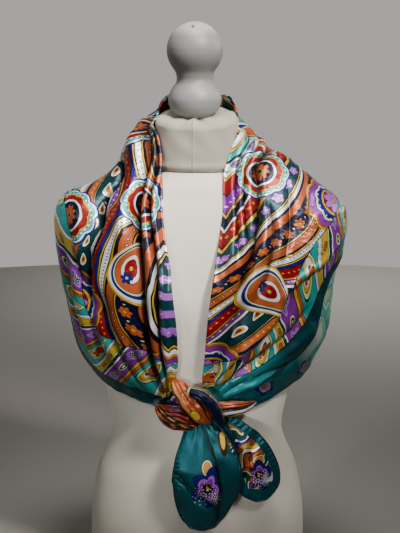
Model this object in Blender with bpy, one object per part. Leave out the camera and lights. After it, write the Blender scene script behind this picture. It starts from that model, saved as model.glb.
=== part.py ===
"""A large silk square, folded corner to corner, worn round a limbless dress form and tied in front.

Metres, +Z up. The form faces -Y, stands on Z = 0 and has its axis on the Z axis. A turn is an angle
round that axis in degrees, 0 at the front, positive towards +X, and 180 at the back.
"""

import math
from collections import namedtuple

import bmesh
import bpy
import numpy as np

CLOTH = 0.0016  # wall of the folded, two-layer silk
SEAM = 0.0003  # gap between pieces that meet
CLEARANCE = 0.0004  # least distance of the cloth's inner face from the form
EASE = 0.0008  # how softly the cloth comes to lie on it
TIGHTEST = 0.0035  # least radius of a fold
FOLD_DRIFT = 1.6  # above 1, folds stay by the neck edge at first and spread near the knot

TORSO_HEIGHT = 0.652  # where the neck block starts
NECK_TOP = 0.7235
NECK_TILT = 0.16  # the neck block's top rises by this share of the way from its front to its back
NECK_ROUNDING = 0.008  # radius of the neck block's top edge
FOOT_TOP = 0.765  # the finial's foot stands square to the neck's top, and is level from here up
BALL_RADIUS = 0.0405
BALL_CENTRE = 0.8225
FINIAL_SHIFT = -0.003

BODY_ROUNDNESS = 2.3  # exponent of the form's rings, 2 is an ellipse
CAPE_ROUNDNESS = 2.3  # the same for the scarf's rings

# ---------------------------------------------------------------- tables

Ring = namedtuple("Ring", "height half_width front back")
TORSO = [
    Ring(0.000, 0.158, 0.104, 0.116),
    Ring(0.060, 0.165, 0.109, 0.124),
    Ring(0.120, 0.164, 0.108, 0.122),  # hips
    Ring(0.190, 0.154, 0.101, 0.106),
    Ring(0.265, 0.129, 0.091, 0.084),  # waist
    Ring(0.315, 0.137, 0.099, 0.088),
    Ring(0.360, 0.148, 0.108, 0.094),
    Ring(0.410, 0.153, 0.115, 0.100),
    Ring(0.460, 0.155, 0.117, 0.105),  # bust
    Ring(0.510, 0.157, 0.110, 0.110),
    Ring(0.560, 0.166, 0.099, 0.110),
    Ring(0.588, 0.179, 0.090, 0.103),  # shoulder tips
    Ring(0.604, 0.167, 0.084, 0.096),
    Ring(0.617, 0.138, 0.078, 0.089),
    Ring(0.629, 0.107, 0.073, 0.081),
    Ring(0.639, 0.077, 0.067, 0.072),
    Ring(0.647, 0.063, 0.061, 0.064),
    Ring(0.652, 0.059, 0.058, 0.060),
    Ring(0.724, 0.058, 0.057, 0.059),
]

Mound = namedtuple("Mound", "turn height rise turn_spread height_spread")
BUST = Mound(turn=36, height=0.455, rise=0.013, turn_spread=20, height_spread=0.050)

# The surface that the scarf hangs on before its folds, ring by ring. left_tent and right_tent are the
# roundness of its front quarters: below 2 the cloth spans straight from the neck to the shoulder.
CapeRing = namedtuple("CapeRing", "height left right front back left_tent right_tent")
CAPE = [
    CapeRing(0.100, 0.150, 0.150, 0.112, 0.134, 2.3, 2.3),
    CapeRing(0.220, 0.150, 0.150, 0.112, 0.130, 2.3, 2.3),
    CapeRing(0.320, 0.146, 0.156, 0.114, 0.124, 2.3, 2.3),
    CapeRing(0.345, 0.154, 0.166, 0.119, 0.123, 2.3, 2.3),
    CapeRing(0.380, 0.175, 0.183, 0.127, 0.123, 2.3, 2.3),
    CapeRing(0.412, 0.185, 0.195, 0.134, 0.124, 2.3, 2.3),
    CapeRing(0.450, 0.192, 0.200, 0.138, 0.126, 2.3, 2.3),
    CapeRing(0.485, 0.200, 0.202, 0.138, 0.128, 2.3, 2.3),
    CapeRing(0.545, 0.210, 0.215, 0.124, 0.129, 2.3, 2.2),
    CapeRing(0.576, 0.212, 0.221, 0.112, 0.127, 2.2, 1.9),
    CapeRing(0.595, 0.208, 0.218, 0.105, 0.123, 2.0, 1.7),
    CapeRing(0.606, 0.201, 0.211, 0.100, 0.119, 1.8, 1.6),
    CapeRing(0.615, 0.187, 0.202, 0.096, 0.115, 1.7, 1.5),
    CapeRing(0.627, 0.163, 0.186, 0.092, 0.110, 1.6, 1.4),
    CapeRing(0.640, 0.140, 0.169, 0.087, 0.104, 1.6, 1.35),
    CapeRing(0.650, 0.127, 0.155, 0.082, 0.098, 1.7, 1.35),
    CapeRing(0.665, 0.113, 0.135, 0.077, 0.089, 1.7, 1.35),
    CapeRing(0.687, 0.099, 0.102, 0.072, 0.080, 1.7, 1.35),
    CapeRing(0.711, 0.089, 0.079, 0.068, 0.072, 1.75, 1.6),
    CapeRing(0.737, 0.073, 0.064, 0.066, 0.069, 1.9, 2.0),
    CapeRing(0.760, 0.065, 0.062, 0.065, 0.067, 2.3, 2.3),
]

# Each station is one line across the folded square, from the fold at the neck to the hem.
Station = namedtuple("Station", "neck_turn neck_height hem_turn hem_height")
LEFT_STATIONS = [
    Station(180, 0.757, 180, 0.150),
    Station(150, 0.757, 163, 0.222),
    Station(122, 0.754, 143, 0.325),
    Station(100, 0.744, 122, 0.430),
    Station(80, 0.731, 107, 0.508),
    Station(56, 0.714, 97, 0.550),
    Station(45, 0.692, 90, 0.548),
    Station(35, 0.655, 86, 0.520),
    Station(25, 0.614, 82, 0.485),
    Station(18, 0.569, 81, 0.444),
    Station(12, 0.524, 77, 0.405),
    Station(9, 0.480, 70, 0.368),
    Station(7, 0.432, 58, 0.345),
    Station(7, 0.395, 43, 0.335),
    Station(9, 0.368, 31, 0.329),
    Station(9, 0.354, 24, 0.325),
]
RIGHT_STATIONS = [
    Station(180, 0.757, 180, 0.150),
    Station(150, 0.757, 163, 0.222),
    Station(122, 0.746, 143, 0.325),
    Station(100, 0.735, 124, 0.430),
    Station(82, 0.721, 111, 0.505),
    Station(58, 0.699, 101, 0.545),
    Station(42, 0.667, 94, 0.550),
    Station(31, 0.634, 90, 0.520),
    Station(25, 0.600, 86, 0.485),
    Station(20, 0.565, 82, 0.456),
    Station(16, 0.525, 77, 0.430),
    Station(13, 0.483, 70, 0.404),
    Station(11, 0.435, 58, 0.371),
    Station(10, 0.395, 44, 0.345),
    Station(9, 0.368, 32, 0.333),
    Station(10, 0.350, 22, 0.327),
]
SHOULDER_SEAM = 4 / 15  # share of the way from the centre back to the knot

# How far the second layer of the folded square shows below the right front, as a share of across.
Reach = namedtuple("Reach", "share beyond")
UNDER_LAYER = [
    Reach(0.37, 0.01),
    Reach(0.42, 0.07),
    Reach(0.50, 0.14),
    Reach(0.60, 0.20),
    Reach(0.70, 0.25),
    Reach(0.80, 0.29),
    Reach(0.88, 0.32),
    Reach(0.94, 0.30),
    Reach(0.97, 0.22),
]
UNDER_TUCK = -5  # it goes up behind the front as far as the front's fifth last column
UNDER_DROP = 0.0011  # its gap behind the front's inner face

# A fold is a ridge, or a trough where rise is negative. Its place is measured along the cloth, from
# 0 at the neck fold to 1 at the hem, where the fold starts and at the knot. first and last are
# shares of the way from the centre back to the knot.
Fold = namedtuple("Fold", "start knot width rise first last")
LEFT_FOLDS = [
    Fold(0.000, 0.000, 0.055, -0.020, 0.14, 0.70),  # the neck edge, drawn in
    Fold(0.014, 0.180, 0.018, 0.006, 0.24, 1.10),
    Fold(0.040, 0.360, 0.017, -0.008, 0.20, 1.10),
    Fold(0.068, 0.460, 0.020, 0.008, 0.18, 1.10),
    Fold(0.100, 0.620, 0.022, -0.010, 0.12, 1.10),
    Fold(0.165, 0.500, 0.050, 0.013, 0.06, 0.56),  # the tube-like roll beside the neck
    Fold(0.250, 0.760, 0.040, -0.006, 0.22, 1.10),
    Fold(0.440, 0.850, 0.060, 0.005, 0.40, 1.10),
    Fold(0.690, 0.760, 0.026, -0.013, 0.28, 0.66),  # the deep crease at the shoulder
    Fold(0.780, 0.860, 0.045, 0.008, 0.26, 0.90),
    Fold(0.900, 0.920, 0.040, -0.004, 0.55, 1.10),
]
RIGHT_FOLDS = [
    Fold(0.000, 0.000, 0.060, -0.024, 0.14, 0.66),  # the neck edge, drawn in
    Fold(0.024, 0.120, 0.016, 0.005, 0.20, 0.66),
    Fold(0.048, 0.200, 0.013, -0.005, 0.18, 0.60),
    Fold(0.070, 0.280, 0.014, 0.005, 0.20, 0.60),
    Fold(0.092, 0.340, 0.013, -0.004, 0.20, 0.56),
    Fold(0.115, 0.400, 0.018, 0.005, 0.20, 0.60),
    Fold(0.165, 0.340, 0.024, -0.010, 0.22, 0.62),  # the soft crease in front of the shoulder
    Fold(0.240, 0.440, 0.050, 0.006, 0.22, 0.80),
    Fold(0.420, 0.600, 0.070, -0.004, 0.35, 0.85),
    Fold(0.560, 0.520, 0.040, 0.005, 0.55, 1.10),
    Fold(0.680, 0.640, 0.035, -0.008, 0.50, 1.10),
    Fold(0.800, 0.760, 0.040, 0.006, 0.50, 1.10),
    Fold(0.930, 0.900, 0.030, -0.004, 0.55, 1.10),
    Fold(0.300, 0.300, 0.045, -0.006, 0.70, 1.10),
]
BackFold = namedtuple("BackFold", "turn rise")
BACK_FOLDS = [
    BackFold(-142, 0.009),
    BackFold(-158, 0.006),
    BackFold(-175, 0.010),
    BackFold(165, 0.007),
    BackFold(150, 0.005),
    BackFold(137, 0.009),
]
BACK_FOLD_SPREAD = 5.5  # degrees
NECK_FOLDS = [
    Fold(0.055, 0.055, 0.024, 0.006, -0.1, 0.26),  # the gathered rolls round the back of the neck
    Fold(0.105, 0.105, 0.020, -0.007, -0.1, 0.22),
    Fold(0.165, 0.165, 0.035, 0.007, -0.1, 0.20),
]

# A rope-like turn of the knot, or a hanging corner: its middle line, half width and half depth.
Spine = namedtuple("Spine", "x y z half_width half_depth")
KNOT_WRAP = [  # the turn over the front of the knot
    Spine(-0.006, -0.136, 0.361, 0.003, 0.003),
    Spine(0.004, -0.142, 0.360, 0.008, 0.008),
    Spine(0.014, -0.144, 0.357, 0.010, 0.011),
    Spine(0.025, -0.143, 0.353, 0.011, 0.014),
    Spine(0.033, -0.140, 0.344, 0.012, 0.016),
    Spine(0.039, -0.138, 0.331, 0.011, 0.015),
    Spine(0.044, -0.135, 0.317, 0.008, 0.011),
    Spine(0.048, -0.131, 0.305, 0.003, 0.005),
]
KNOT_BAND = [  # the left front's gathers, going under the wrap
    Spine(-0.042, -0.116, 0.362, 0.017, 0.006),
    Spine(-0.031, -0.122, 0.353, 0.018, 0.010),
    Spine(-0.018, -0.128, 0.345, 0.017, 0.012),
    Spine(-0.004, -0.131, 0.336, 0.016, 0.013),
    Spine(0.010, -0.131, 0.326, 0.015, 0.013),
    Spine(0.023, -0.129, 0.316, 0.012, 0.011),
    Spine(0.031, -0.126, 0.309, 0.006, 0.007),
]
KNOT_ROLL = [  # the ribbed turn at the lower left
    Spine(-0.047, -0.119, 0.327, 0.003, 0.003),
    Spine(-0.039, -0.123, 0.322, 0.010, 0.008),
    Spine(-0.025, -0.127, 0.313, 0.015, 0.011),
    Spine(-0.010, -0.128, 0.307, 0.015, 0.013),
    Spine(0.005, -0.126, 0.304, 0.012, 0.012),
    Spine(0.018, -0.123, 0.302, 0.008, 0.009),
]
KNOT_LOOP = [  # the pointed loop at the right
    Spine(0.093, -0.103, 0.331, 0.002, 0.002),
    Spine(0.079, -0.112, 0.327, 0.008, 0.006),
    Spine(0.063, -0.120, 0.326, 0.011, 0.008),
    Spine(0.048, -0.124, 0.326, 0.011, 0.009),
    Spine(0.032, -0.125, 0.325, 0.009, 0.009),
]
TAIL_FRONT = [
    Spine(0.016, -0.127, 0.312, 0.018, 0.004),
    Spine(0.020, -0.130, 0.288, 0.030, 0.006),
    Spine(0.024, -0.134, 0.262, 0.042, 0.008),
    Spine(0.026, -0.136, 0.240, 0.047, 0.009),
    Spine(0.025, -0.136, 0.219, 0.048, 0.009),
    Spine(0.021, -0.136, 0.197, 0.042, 0.008),
    Spine(0.017, -0.135, 0.174, 0.034, 0.006),
    Spine(0.014, -0.133, 0.159, 0.025, 0.005),
    Spine(0.012, -0.132, 0.149, 0.012, 0.003),
]
TAIL_SIDE = [
    Spine(0.042, -0.119, 0.320, 0.006, 0.002),
    Spine(0.052, -0.116, 0.306, 0.011, 0.003),
    Spine(0.065, -0.112, 0.290, 0.018, 0.004),
    Spine(0.079, -0.108, 0.268, 0.026, 0.006),
    Spine(0.090, -0.106, 0.244, 0.031, 0.007),
    Spine(0.097, -0.105, 0.222, 0.033, 0.007),
    Spine(0.101, -0.105, 0.203, 0.030, 0.005),
    Spine(0.103, -0.105, 0.191, 0.020, 0.004),
    Spine(0.104, -0.105, 0.184, 0.010, 0.003),
]

GRID = {
    "torso": 48,  # points round a ring of the form
    "torso_rows": 26,
    "finial": 24,
    "across": 28,  # quads across a front
    "along": 22,  # quads along a front
    "back_along": 26,
    "knot_round": 14,
    "knot_along": 12,
    "tail_across": 14,
    "tail_along": 16,
}

Finish = namedtuple("Finish", "red green blue roughness metallic")
SATIN = Finish(0.45, 0.16, 0.22, 0.32, 0.0)
SATIN_BORDER = Finish(0.01, 0.16, 0.17, 0.32, 0.0)
JERSEY = Finish(0.74, 0.70, 0.63, 0.85, 0.0)
LACQUER = Finish(0.78, 0.78, 0.77, 0.35, 0.0)


# ---------------------------------------------------------------- curves and surfaces


def smooth(known, values, wanted):
    """Monotone cubic through (known, values): it never swings past the rows of a table."""
    known, values = np.asarray(known, float), np.asarray(values, float)
    step, slope = np.diff(known), np.diff(values) / np.diff(known)
    tangent = np.empty_like(values)
    tangent[0], tangent[-1] = slope[0], slope[-1]
    before, after = slope[:-1], slope[1:]
    same_way = before * after > 0
    weight = step[1:] + 2 * step[:-1], 2 * step[1:] + step[:-1]
    with np.errstate(divide="ignore", invalid="ignore"):
        mean = (weight[0] + weight[1]) / (weight[0] / before + weight[1] / after)
    tangent[1:-1] = np.where(same_way, mean, 0.0)
    at = np.clip(np.asarray(wanted, float), known[0], known[-1])
    i = np.clip(np.searchsorted(known, at, side="right") - 1, 0, len(step) - 1)
    t = (at - known[i]) / step[i]
    near, far = values[i], values[i + 1]
    rise = step[i] * (tangent[i] * t * (1 - t) ** 2 - tangent[i + 1] * t**2 * (1 - t))
    return near + (far - near) * t**2 * (3 - 2 * t) + rise


def column(rows, name):
    return np.array([getattr(row, name) for row in rows], float)


def ring_radius(turn, side, depth, roundness):
    """Distance from the axis to an oval of this half width and depth, in that direction."""
    angle = np.radians(turn)
    share = (np.abs(np.sin(angle)) / side) ** roundness + (np.abs(np.cos(angle)) / depth) ** roundness
    return share ** (-1 / roundness)


def form_radius(turn, height):
    """The dress form's own surface: its ring at that height, and the bust."""
    sizes = [smooth(column(TORSO, "height"), column(TORSO, name), height) for name in Ring._fields[1:]]
    depth = np.where(np.abs(turn) < 90, sizes[1], sizes[2])
    radius = ring_radius(turn, sizes[0], depth, BODY_ROUNDNESS)
    aside = (np.abs(turn) - BUST.turn) / BUST.turn_spread
    above = (height - BUST.height) / BUST.height_spread
    return radius + BUST.rise * np.exp(-(aside**2) - above**2)


def neck_rise(points):
    """How much the neck block's sloping top stands above its front edge."""
    return NECK_TILT * (points[..., 1] + ring_radius(0, 0.058, 0.057, BODY_ROUNDNESS))


def cape_radius(turn, height):
    """The surface that the scarf hangs on, before its folds."""
    sizes = [smooth(column(CAPE, "height"), column(CAPE, name), height) for name in CapeRing._fields[1:]]
    aside, ahead = np.sin(np.radians(turn)), np.cos(np.radians(turn))
    side = np.where(aside < 0, sizes[0], sizes[1])
    depth = np.where(ahead > 0, sizes[2], sizes[3])
    tent = np.where(aside < 0, sizes[4], sizes[5])
    midway = np.where(ahead > 0, np.sin(np.radians(2 * turn)) ** 2, 0)
    return ring_radius(turn, side, depth, CAPE_ROUNDNESS + (tent - CAPE_ROUNDNESS) * midway)


def placed(turn, height, radius):
    angle = np.radians(turn)
    return np.stack([radius * np.sin(angle), -radius * np.cos(angle), height], axis=-1)


def grid_normals(points):
    """Unit normals of a grid of points, facing away from the form's axis."""
    along = np.gradient(points, axis=0)
    across = np.gradient(points, axis=1)
    normal = np.cross(along, across)
    normal /= np.linalg.norm(normal, axis=-1, keepdims=True) + 1e-12
    outward = points * [1, 1, 0] + [0, 0, 0.03]
    facing = np.sign((normal * outward).sum(-1).mean())
    return normal * facing


def form_distance(points):
    """Distance from the form, and the direction away from it, by one step down the gradient."""

    def reach(p):
        turn = np.degrees(np.arctan2(p[..., 0], -p[..., 1]))
        height = np.clip(p[..., 2], 0, TORSO[-1].height)
        return np.hypot(p[..., 0], p[..., 1]) - form_radius(turn, height)

    step = 1e-4
    here = reach(points)
    slope = np.stack([(reach(points + step * axis) - here) / step for axis in np.eye(3)], axis=-1)
    steepness = np.linalg.norm(slope, axis=-1, keepdims=True)
    return here / steepness[..., 0], slope / steepness


def clear_of_form(points, distance):
    """The points, moved out to at least that distance from the form, softly where they touch it."""
    gap, away = form_distance(points)
    short = distance - gap
    eased = np.where(short > EASE, short, np.clip(short + EASE, 0, None) ** 2 / (4 * EASE))
    points = points + eased[..., None] * away
    for _ in range(5):
        gap, away = form_distance(points)
        points = points + np.maximum(distance - gap, 0)[..., None] * away
    return points


# ---------------------------------------------------------------- the scarf's shape


def station_line(name, share):
    """A column of the stations at signed shares of the way from the centre back, left negative."""
    left = column(LEFT_STATIONS, name)[::-1]
    right = column(RIGHT_STATIONS, name)[1:]
    if "turn" in name:
        left = 360 - left
    ways = np.linspace(-1, 1, len(left) + len(right))
    return smooth(ways, np.concatenate([left, right]), share)


def eased_between(value, first, last, ease):
    """1 between first and last, 0 outside, with soft ends."""
    window = np.clip((value - first) / ease + 0.5, 0, 1) * np.clip((last - value) / ease + 0.5, 0, 1)
    return window * window * (3 - 2 * window)


def fold_height(folds, way, across, section):
    """The sum of the folds at each point. A fold gets lower where its section narrows."""
    total = np.zeros(across.shape)
    for fold in folds:
        progress = np.clip((way - fold.first) / (1 - fold.first), 0, 1) ** FOLD_DRIFT
        middle = fold.start + (fold.knot - fold.start) * progress
        widened = fold.width * (1 + 2 * np.abs(middle - fold.start))
        spread = widened * section
        room = np.minimum(1, np.minimum(0.9 * spread, spread**2 / (2 * TIGHTEST)) / abs(fold.rise))
        shape = np.exp(-(((across - middle) / widened) ** 2))
        total = total + fold.rise * room * shape * eased_between(way, fold.first, fold.last, 0.1)
    return total


def back_fold_height(points, across):
    """Soft folds that run down the back from the neck and widen towards the hem."""
    turn = np.degrees(np.arctan2(points[..., 0], -points[..., 1]))
    total = np.zeros(turn.shape)
    for fold in BACK_FOLDS:
        aside = (turn - fold.turn + 180) % 360 - 180
        total += fold.rise * np.exp(-((aside / BACK_FOLD_SPREAD) ** 2))
    return total * np.clip((across - 0.2) / 0.3, 0, 1)


def scarf_points(shares, acrosses):
    """The scarf's outer face, a row of points for each share of the way from the centre back."""
    across = np.broadcast_to(acrosses, (len(shares), np.shape(acrosses)[-1]))
    ends = [station_line(name, np.asarray(shares))[:, None] for name in Station._fields]

    def lies_at(step):
        turn = ends[0] + (ends[2] - ends[0]) * step
        height = ends[1] + (ends[3] - ends[1]) * step
        return placed(turn, height, cape_radius(turn, height))

    steps = np.linspace(0, 1.4, 141)
    lengths = np.linalg.norm(np.diff(lies_at(steps), axis=1), axis=-1)
    reach = np.concatenate([np.zeros((len(shares), 1)), np.cumsum(lengths, axis=1)], axis=1)
    section = reach[:, 100:101]
    step = np.stack([np.interp(a * whole, r, steps) for a, whole, r in zip(across, section, reach)])
    base = lies_at(step)
    share = np.broadcast_to(np.asarray(shares)[:, None], across.shape)
    way = np.abs(share)
    side = np.where(
        share < 0,
        fold_height(LEFT_FOLDS, way, across, section),
        fold_height(RIGHT_FOLDS, way, across, section),
    )
    side = side + fold_height(NECK_FOLDS, way, across, section)
    side = side + back_fold_height(base, across)
    out = base + grid_normals(base) * side[..., None]
    return clear_of_form(out, CLOTH + CLEARANCE)


def front_shares():
    return np.linspace(SHOULDER_SEAM, 1, GRID["along"] + 1)


def front_acrosses():
    return np.linspace(0, 1, GRID["across"] + 1) ** 1.35


def under_layer():
    """The outer and inner faces of the second layer, one wall further in than the front."""
    shares = front_shares()[3:-1]
    beyond = smooth(column(UNDER_LAYER, "share"), column(UNDER_LAYER, "beyond"), shares)[:, None]
    tucked = front_acrosses()[UNDER_TUCK:]
    tucked = np.broadcast_to(tucked, (len(shares), len(tucked)))
    acrosses = np.concatenate([tucked, 1 + beyond * np.array([[0.33, 0.67, 1.0]])], axis=1)
    front = scarf_points(shares, acrosses)
    outer = front - grid_normals(front) * (CLOTH + UNDER_DROP)
    return outer, outer - grid_normals(outer) * CLOTH


def scarf_stretches():
    """The outer and inner faces of each stretch, cut from one sheet along its two shoulder seams."""
    back = np.linspace(-SHOULDER_SEAM, SHOULDER_SEAM, GRID["back_along"] + 1)
    shares = np.concatenate([-front_shares()[::-1], back[1:-1], front_shares()])
    outer = scarf_points(shares, front_acrosses())
    normals = grid_normals(outer)
    seams = GRID["along"], GRID["along"] + GRID["back_along"]
    pieces = {}
    for name, first, last in (
        ("left_front", 0, seams[0]),
        ("back_drape", seams[0], seams[1]),
        ("right_front", seams[1], len(shares) - 1),
    ):
        face = outer[first : last + 1].copy()
        for row, seam, side in ((0, first, 1), (-1, last, -1)):
            if seam in seams:
                onward = np.cross(np.gradient(outer[seam], axis=0), normals[seam])
                onward *= np.sign((onward * (outer[seam + 1] - outer[seam])).sum())
                face[row] += side * SEAM * onward / np.linalg.norm(onward, axis=-1, keepdims=True)
        pieces[name] = face, face - normals[first : last + 1] * CLOTH
    return pieces


# ---------------------------------------------------------------- Blender objects


def clear_scene():
    for old in list(bpy.data.objects):
        bpy.data.objects.remove(old)


def material(name, finish):
    made = bpy.data.materials.get(name)
    if made is None:
        made = bpy.data.materials.new(name)
        made.use_nodes = True
        shader = made.node_tree.nodes["Principled BSDF"]
        shader.inputs["Base Color"].default_value = (finish.red, finish.green, finish.blue, 1)
        shader.inputs["Roughness"].default_value = finish.roughness
        shader.inputs["Metallic"].default_value = finish.metallic
        made.diffuse_color = (finish.red, finish.green, finish.blue, 1)
    return made


def add_object(name, points, faces, finish, smooth_shaded=True):
    mesh = bpy.data.meshes.new(name)
    mesh.from_pydata([tuple(p) for p in points], [], [tuple(f) for f in faces])
    tidy = bmesh.new()
    tidy.from_mesh(mesh)
    bmesh.ops.remove_doubles(tidy, verts=tidy.verts, dist=1e-6)
    bmesh.ops.recalc_face_normals(tidy, faces=tidy.faces)
    tidy.to_mesh(mesh)
    tidy.free()
    if smooth_shaded:
        mesh.shade_smooth()
    mesh.materials.append(finish)
    made = bpy.data.objects.new(name, mesh)
    bpy.context.collection.objects.link(made)
    return made


def cloth_wall(name, points, inner, finish):
    """A closed wall between an outer and an inner face."""
    rows, columns = points.shape[:2]
    vertices = np.concatenate([points.reshape(-1, 3), inner.reshape(-1, 3)])
    index = np.arange(rows * columns).reshape(rows, columns)
    under = index + rows * columns
    faces = []
    for face_of in (index, under[:, ::-1]):
        quads = (face_of[:-1, :-1], face_of[1:, :-1], face_of[1:, 1:], face_of[:-1, 1:])
        faces += np.stack(quads, axis=-1).reshape(-1, 4).tolist()
    edges = [(index[0], under[0]), (under[-1], index[-1]), (under[:, 0], index[:, 0]), (index[:, -1], under[:, -1])]
    for top, bottom in edges:
        faces += np.stack([top[:-1], top[1:], bottom[1:], bottom[:-1]], axis=-1).tolist()
    return add_object(name, vertices, faces, finish)


def closed_rings(name, rings, finish):
    """A solid through closed rings of points, with a flat cap at each end."""
    rows, columns = rings.shape[:2]
    index = np.arange(rows * columns).reshape(rows, columns)
    turned = np.roll(index, -1, axis=1)
    quads = np.stack([index[:-1], turned[:-1], turned[1:], index[1:]], axis=-1)
    faces = quads.reshape(-1, 4).tolist() + [index[0][::-1].tolist(), index[-1].tolist()]
    return add_object(name, rings.reshape(-1, 3), faces, finish)


def spine_frame(rows, count):
    """Points along a spine, its width direction, its facing direction and its half sizes."""
    known = np.linspace(0, 1, len(rows))
    at = np.linspace(0, 1, count)
    middle = np.stack([smooth(known, column(rows, name), at) for name in "xyz"], axis=-1)
    along = np.gradient(middle, axis=0)
    along /= np.linalg.norm(along, axis=-1, keepdims=True)
    facing = middle * [0.35, 1, 0]
    facing /= np.linalg.norm(facing, axis=-1, keepdims=True)
    wide = np.cross(along, facing)
    wide /= np.linalg.norm(wide, axis=-1, keepdims=True)
    outward = np.cross(wide, along)
    sizes = [smooth(known, column(rows, name), at) for name in ("half_width", "half_depth")]
    return middle, wide, outward, sizes[0], sizes[1]


def knot_turn(name, rows, finish, swell=0.0):
    """A rounded bundle of cloth with shallow grooves along it."""
    middle, wide, outward, half_width, half_depth = spine_frame(rows, GRID["knot_along"] + 1)
    angle = np.linspace(0, 2 * math.pi, GRID["knot_round"], endpoint=False)
    groove = 1 + 0.05 * np.cos(5 * angle)
    across = np.cos(angle) * groove
    depth = np.sin(angle) * groove
    rings = (
        middle[:, None]
        + wide[:, None] * (across * (half_width[:, None] + swell))[..., None]
        + outward[:, None] * (depth * (half_depth[:, None] + swell))[..., None]
    )
    if swell:
        ends = (middle[0] - middle[1], middle[-1] - middle[-2])
        rings[0] += ends[0] / np.linalg.norm(ends[0]) * swell
        rings[-1] += ends[1] / np.linalg.norm(ends[1]) * swell
    return closed_rings(name, rings, finish)


def tail_points(rows, crease, curl):
    """The outer face of a hanging corner: crowned across, creased at one place, its edges turned back."""
    middle, wide, outward, half_width, half_depth = spine_frame(rows, GRID["tail_along"] + 1)
    across = np.linspace(-1, 1, GRID["tail_across"] + 1)
    crown = 1 - across**2
    valley = np.exp(-(((across - crease) / 0.22) ** 2))
    turned = np.clip(np.abs(across) - 0.75, 0, 1) ** 2 * curl
    lift = half_depth[:, None] * (1.3 * crown - 1.2 * valley - turned)
    return middle[:, None] + wide[:, None] * (across * half_width[:, None])[..., None] + outward[:, None] * lift[..., None]


def cut_by(target, cutters):
    for cutter in cutters:
        cut = target.modifiers.new("clear of " + cutter.name, "BOOLEAN")
        cut.operation = "DIFFERENCE"
        cut.solver = "EXACT"
        cut.object = cutter


def cutter_of(name, rows):
    made = knot_turn(name + "_cutter", rows, material("silk print", SATIN), swell=SEAM)
    made.hide_render = True
    made.display_type = "WIRE"
    return made


# ---------------------------------------------------------------- the pieces


def build_form():
    jersey = material("form jersey", JERSEY)
    turns = np.linspace(-180, 180, GRID["torso"], endpoint=False)
    lower = np.linspace(0, 0.56, 15, endpoint=False)
    upper = np.linspace(0.56, TORSO_HEIGHT - SEAM, GRID["torso_rows"] - 15)
    turn, height = np.meshgrid(turns, np.concatenate([lower, upper]))
    closed_rings("form_torso", placed(turn, height, form_radius(turn, height)), jersey)

    edge = np.linspace(0, 90, 5)
    heights = np.concatenate(
        [[TORSO_HEIGHT], NECK_TOP - NECK_ROUNDING + NECK_ROUNDING * np.sin(np.radians(edge))]
    )
    insets = np.concatenate([[0], NECK_ROUNDING * (1 - np.cos(np.radians(edge)))])
    turn, height = np.meshgrid(turns, heights)
    block = placed(turn, height, form_radius(turn, height) - insets[:, None])
    share = (block[..., 2] - TORSO_HEIGHT) / (NECK_TOP - TORSO_HEIGHT)
    block[..., 2] += neck_rise(block) * share
    closed_rings("form_neck", block, jersey)

    Turned = namedtuple("Turned", "radius height")
    foot = [
        Turned(0.025, NECK_TOP + SEAM),
        Turned(0.033, 0.730),
        Turned(0.0375, 0.740),
        Turned(0.0385, 0.750),
        Turned(0.036, 0.760),
        Turned(0.029, 0.772),
    ]
    ball = [
        Turned(BALL_RADIUS * math.cos(math.radians(a)), BALL_CENTRE + BALL_RADIUS * math.sin(math.radians(a)))
        for a in np.linspace(-46, 86, 12)
    ]
    profile = foot + [Turned(0.0265, 0.782)] + ball
    turns = np.linspace(-180, 180, GRID["finial"], endpoint=False)
    radius = column(profile, "radius")[:, None] * np.ones(len(turns))
    height = column(profile, "height")[:, None] * np.ones(len(turns))
    rings = placed(np.broadcast_to(turns, radius.shape), height, radius) + [FINIAL_SHIFT, 0, 0]
    rings[..., 2] += neck_rise(rings) * np.clip((FOOT_TOP - height) / (FOOT_TOP - NECK_TOP), 0, 1)
    closed_rings("form_finial", rings, material("white lacquer", LACQUER))


def build_scarf():
    silk = material("silk print", SATIN)
    border = material("silk border", SATIN_BORDER)
    turns = {"knot_wrap": KNOT_WRAP, "knot_band": KNOT_BAND, "knot_roll": KNOT_ROLL, "knot_loop": KNOT_LOOP}
    cutters = []
    for name, rows in turns.items():
        cut_by(knot_turn(name, rows, silk), cutters)
        cutters.append(cutter_of(name, rows))

    for name, faces in scarf_stretches().items():
        stretch = cloth_wall(name, *faces, silk)
        if name != "back_drape":
            cut_by(stretch, cutters)
    cut_by(cloth_wall("under_layer", *under_layer(), silk), cutters[-1:])

    for name, rows, crease in (("tail_front", TAIL_FRONT, 0.25), ("tail_side", TAIL_SIDE, -0.2)):
        face = tail_points(rows, crease, 12)
        cut_by(cloth_wall(name, face, face - grid_normals(face) * CLOTH, border), cutters)


clear_scene()
build_form()
build_scarf()
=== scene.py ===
import math
from collections import namedtuple
from functools import partialmethod

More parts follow.
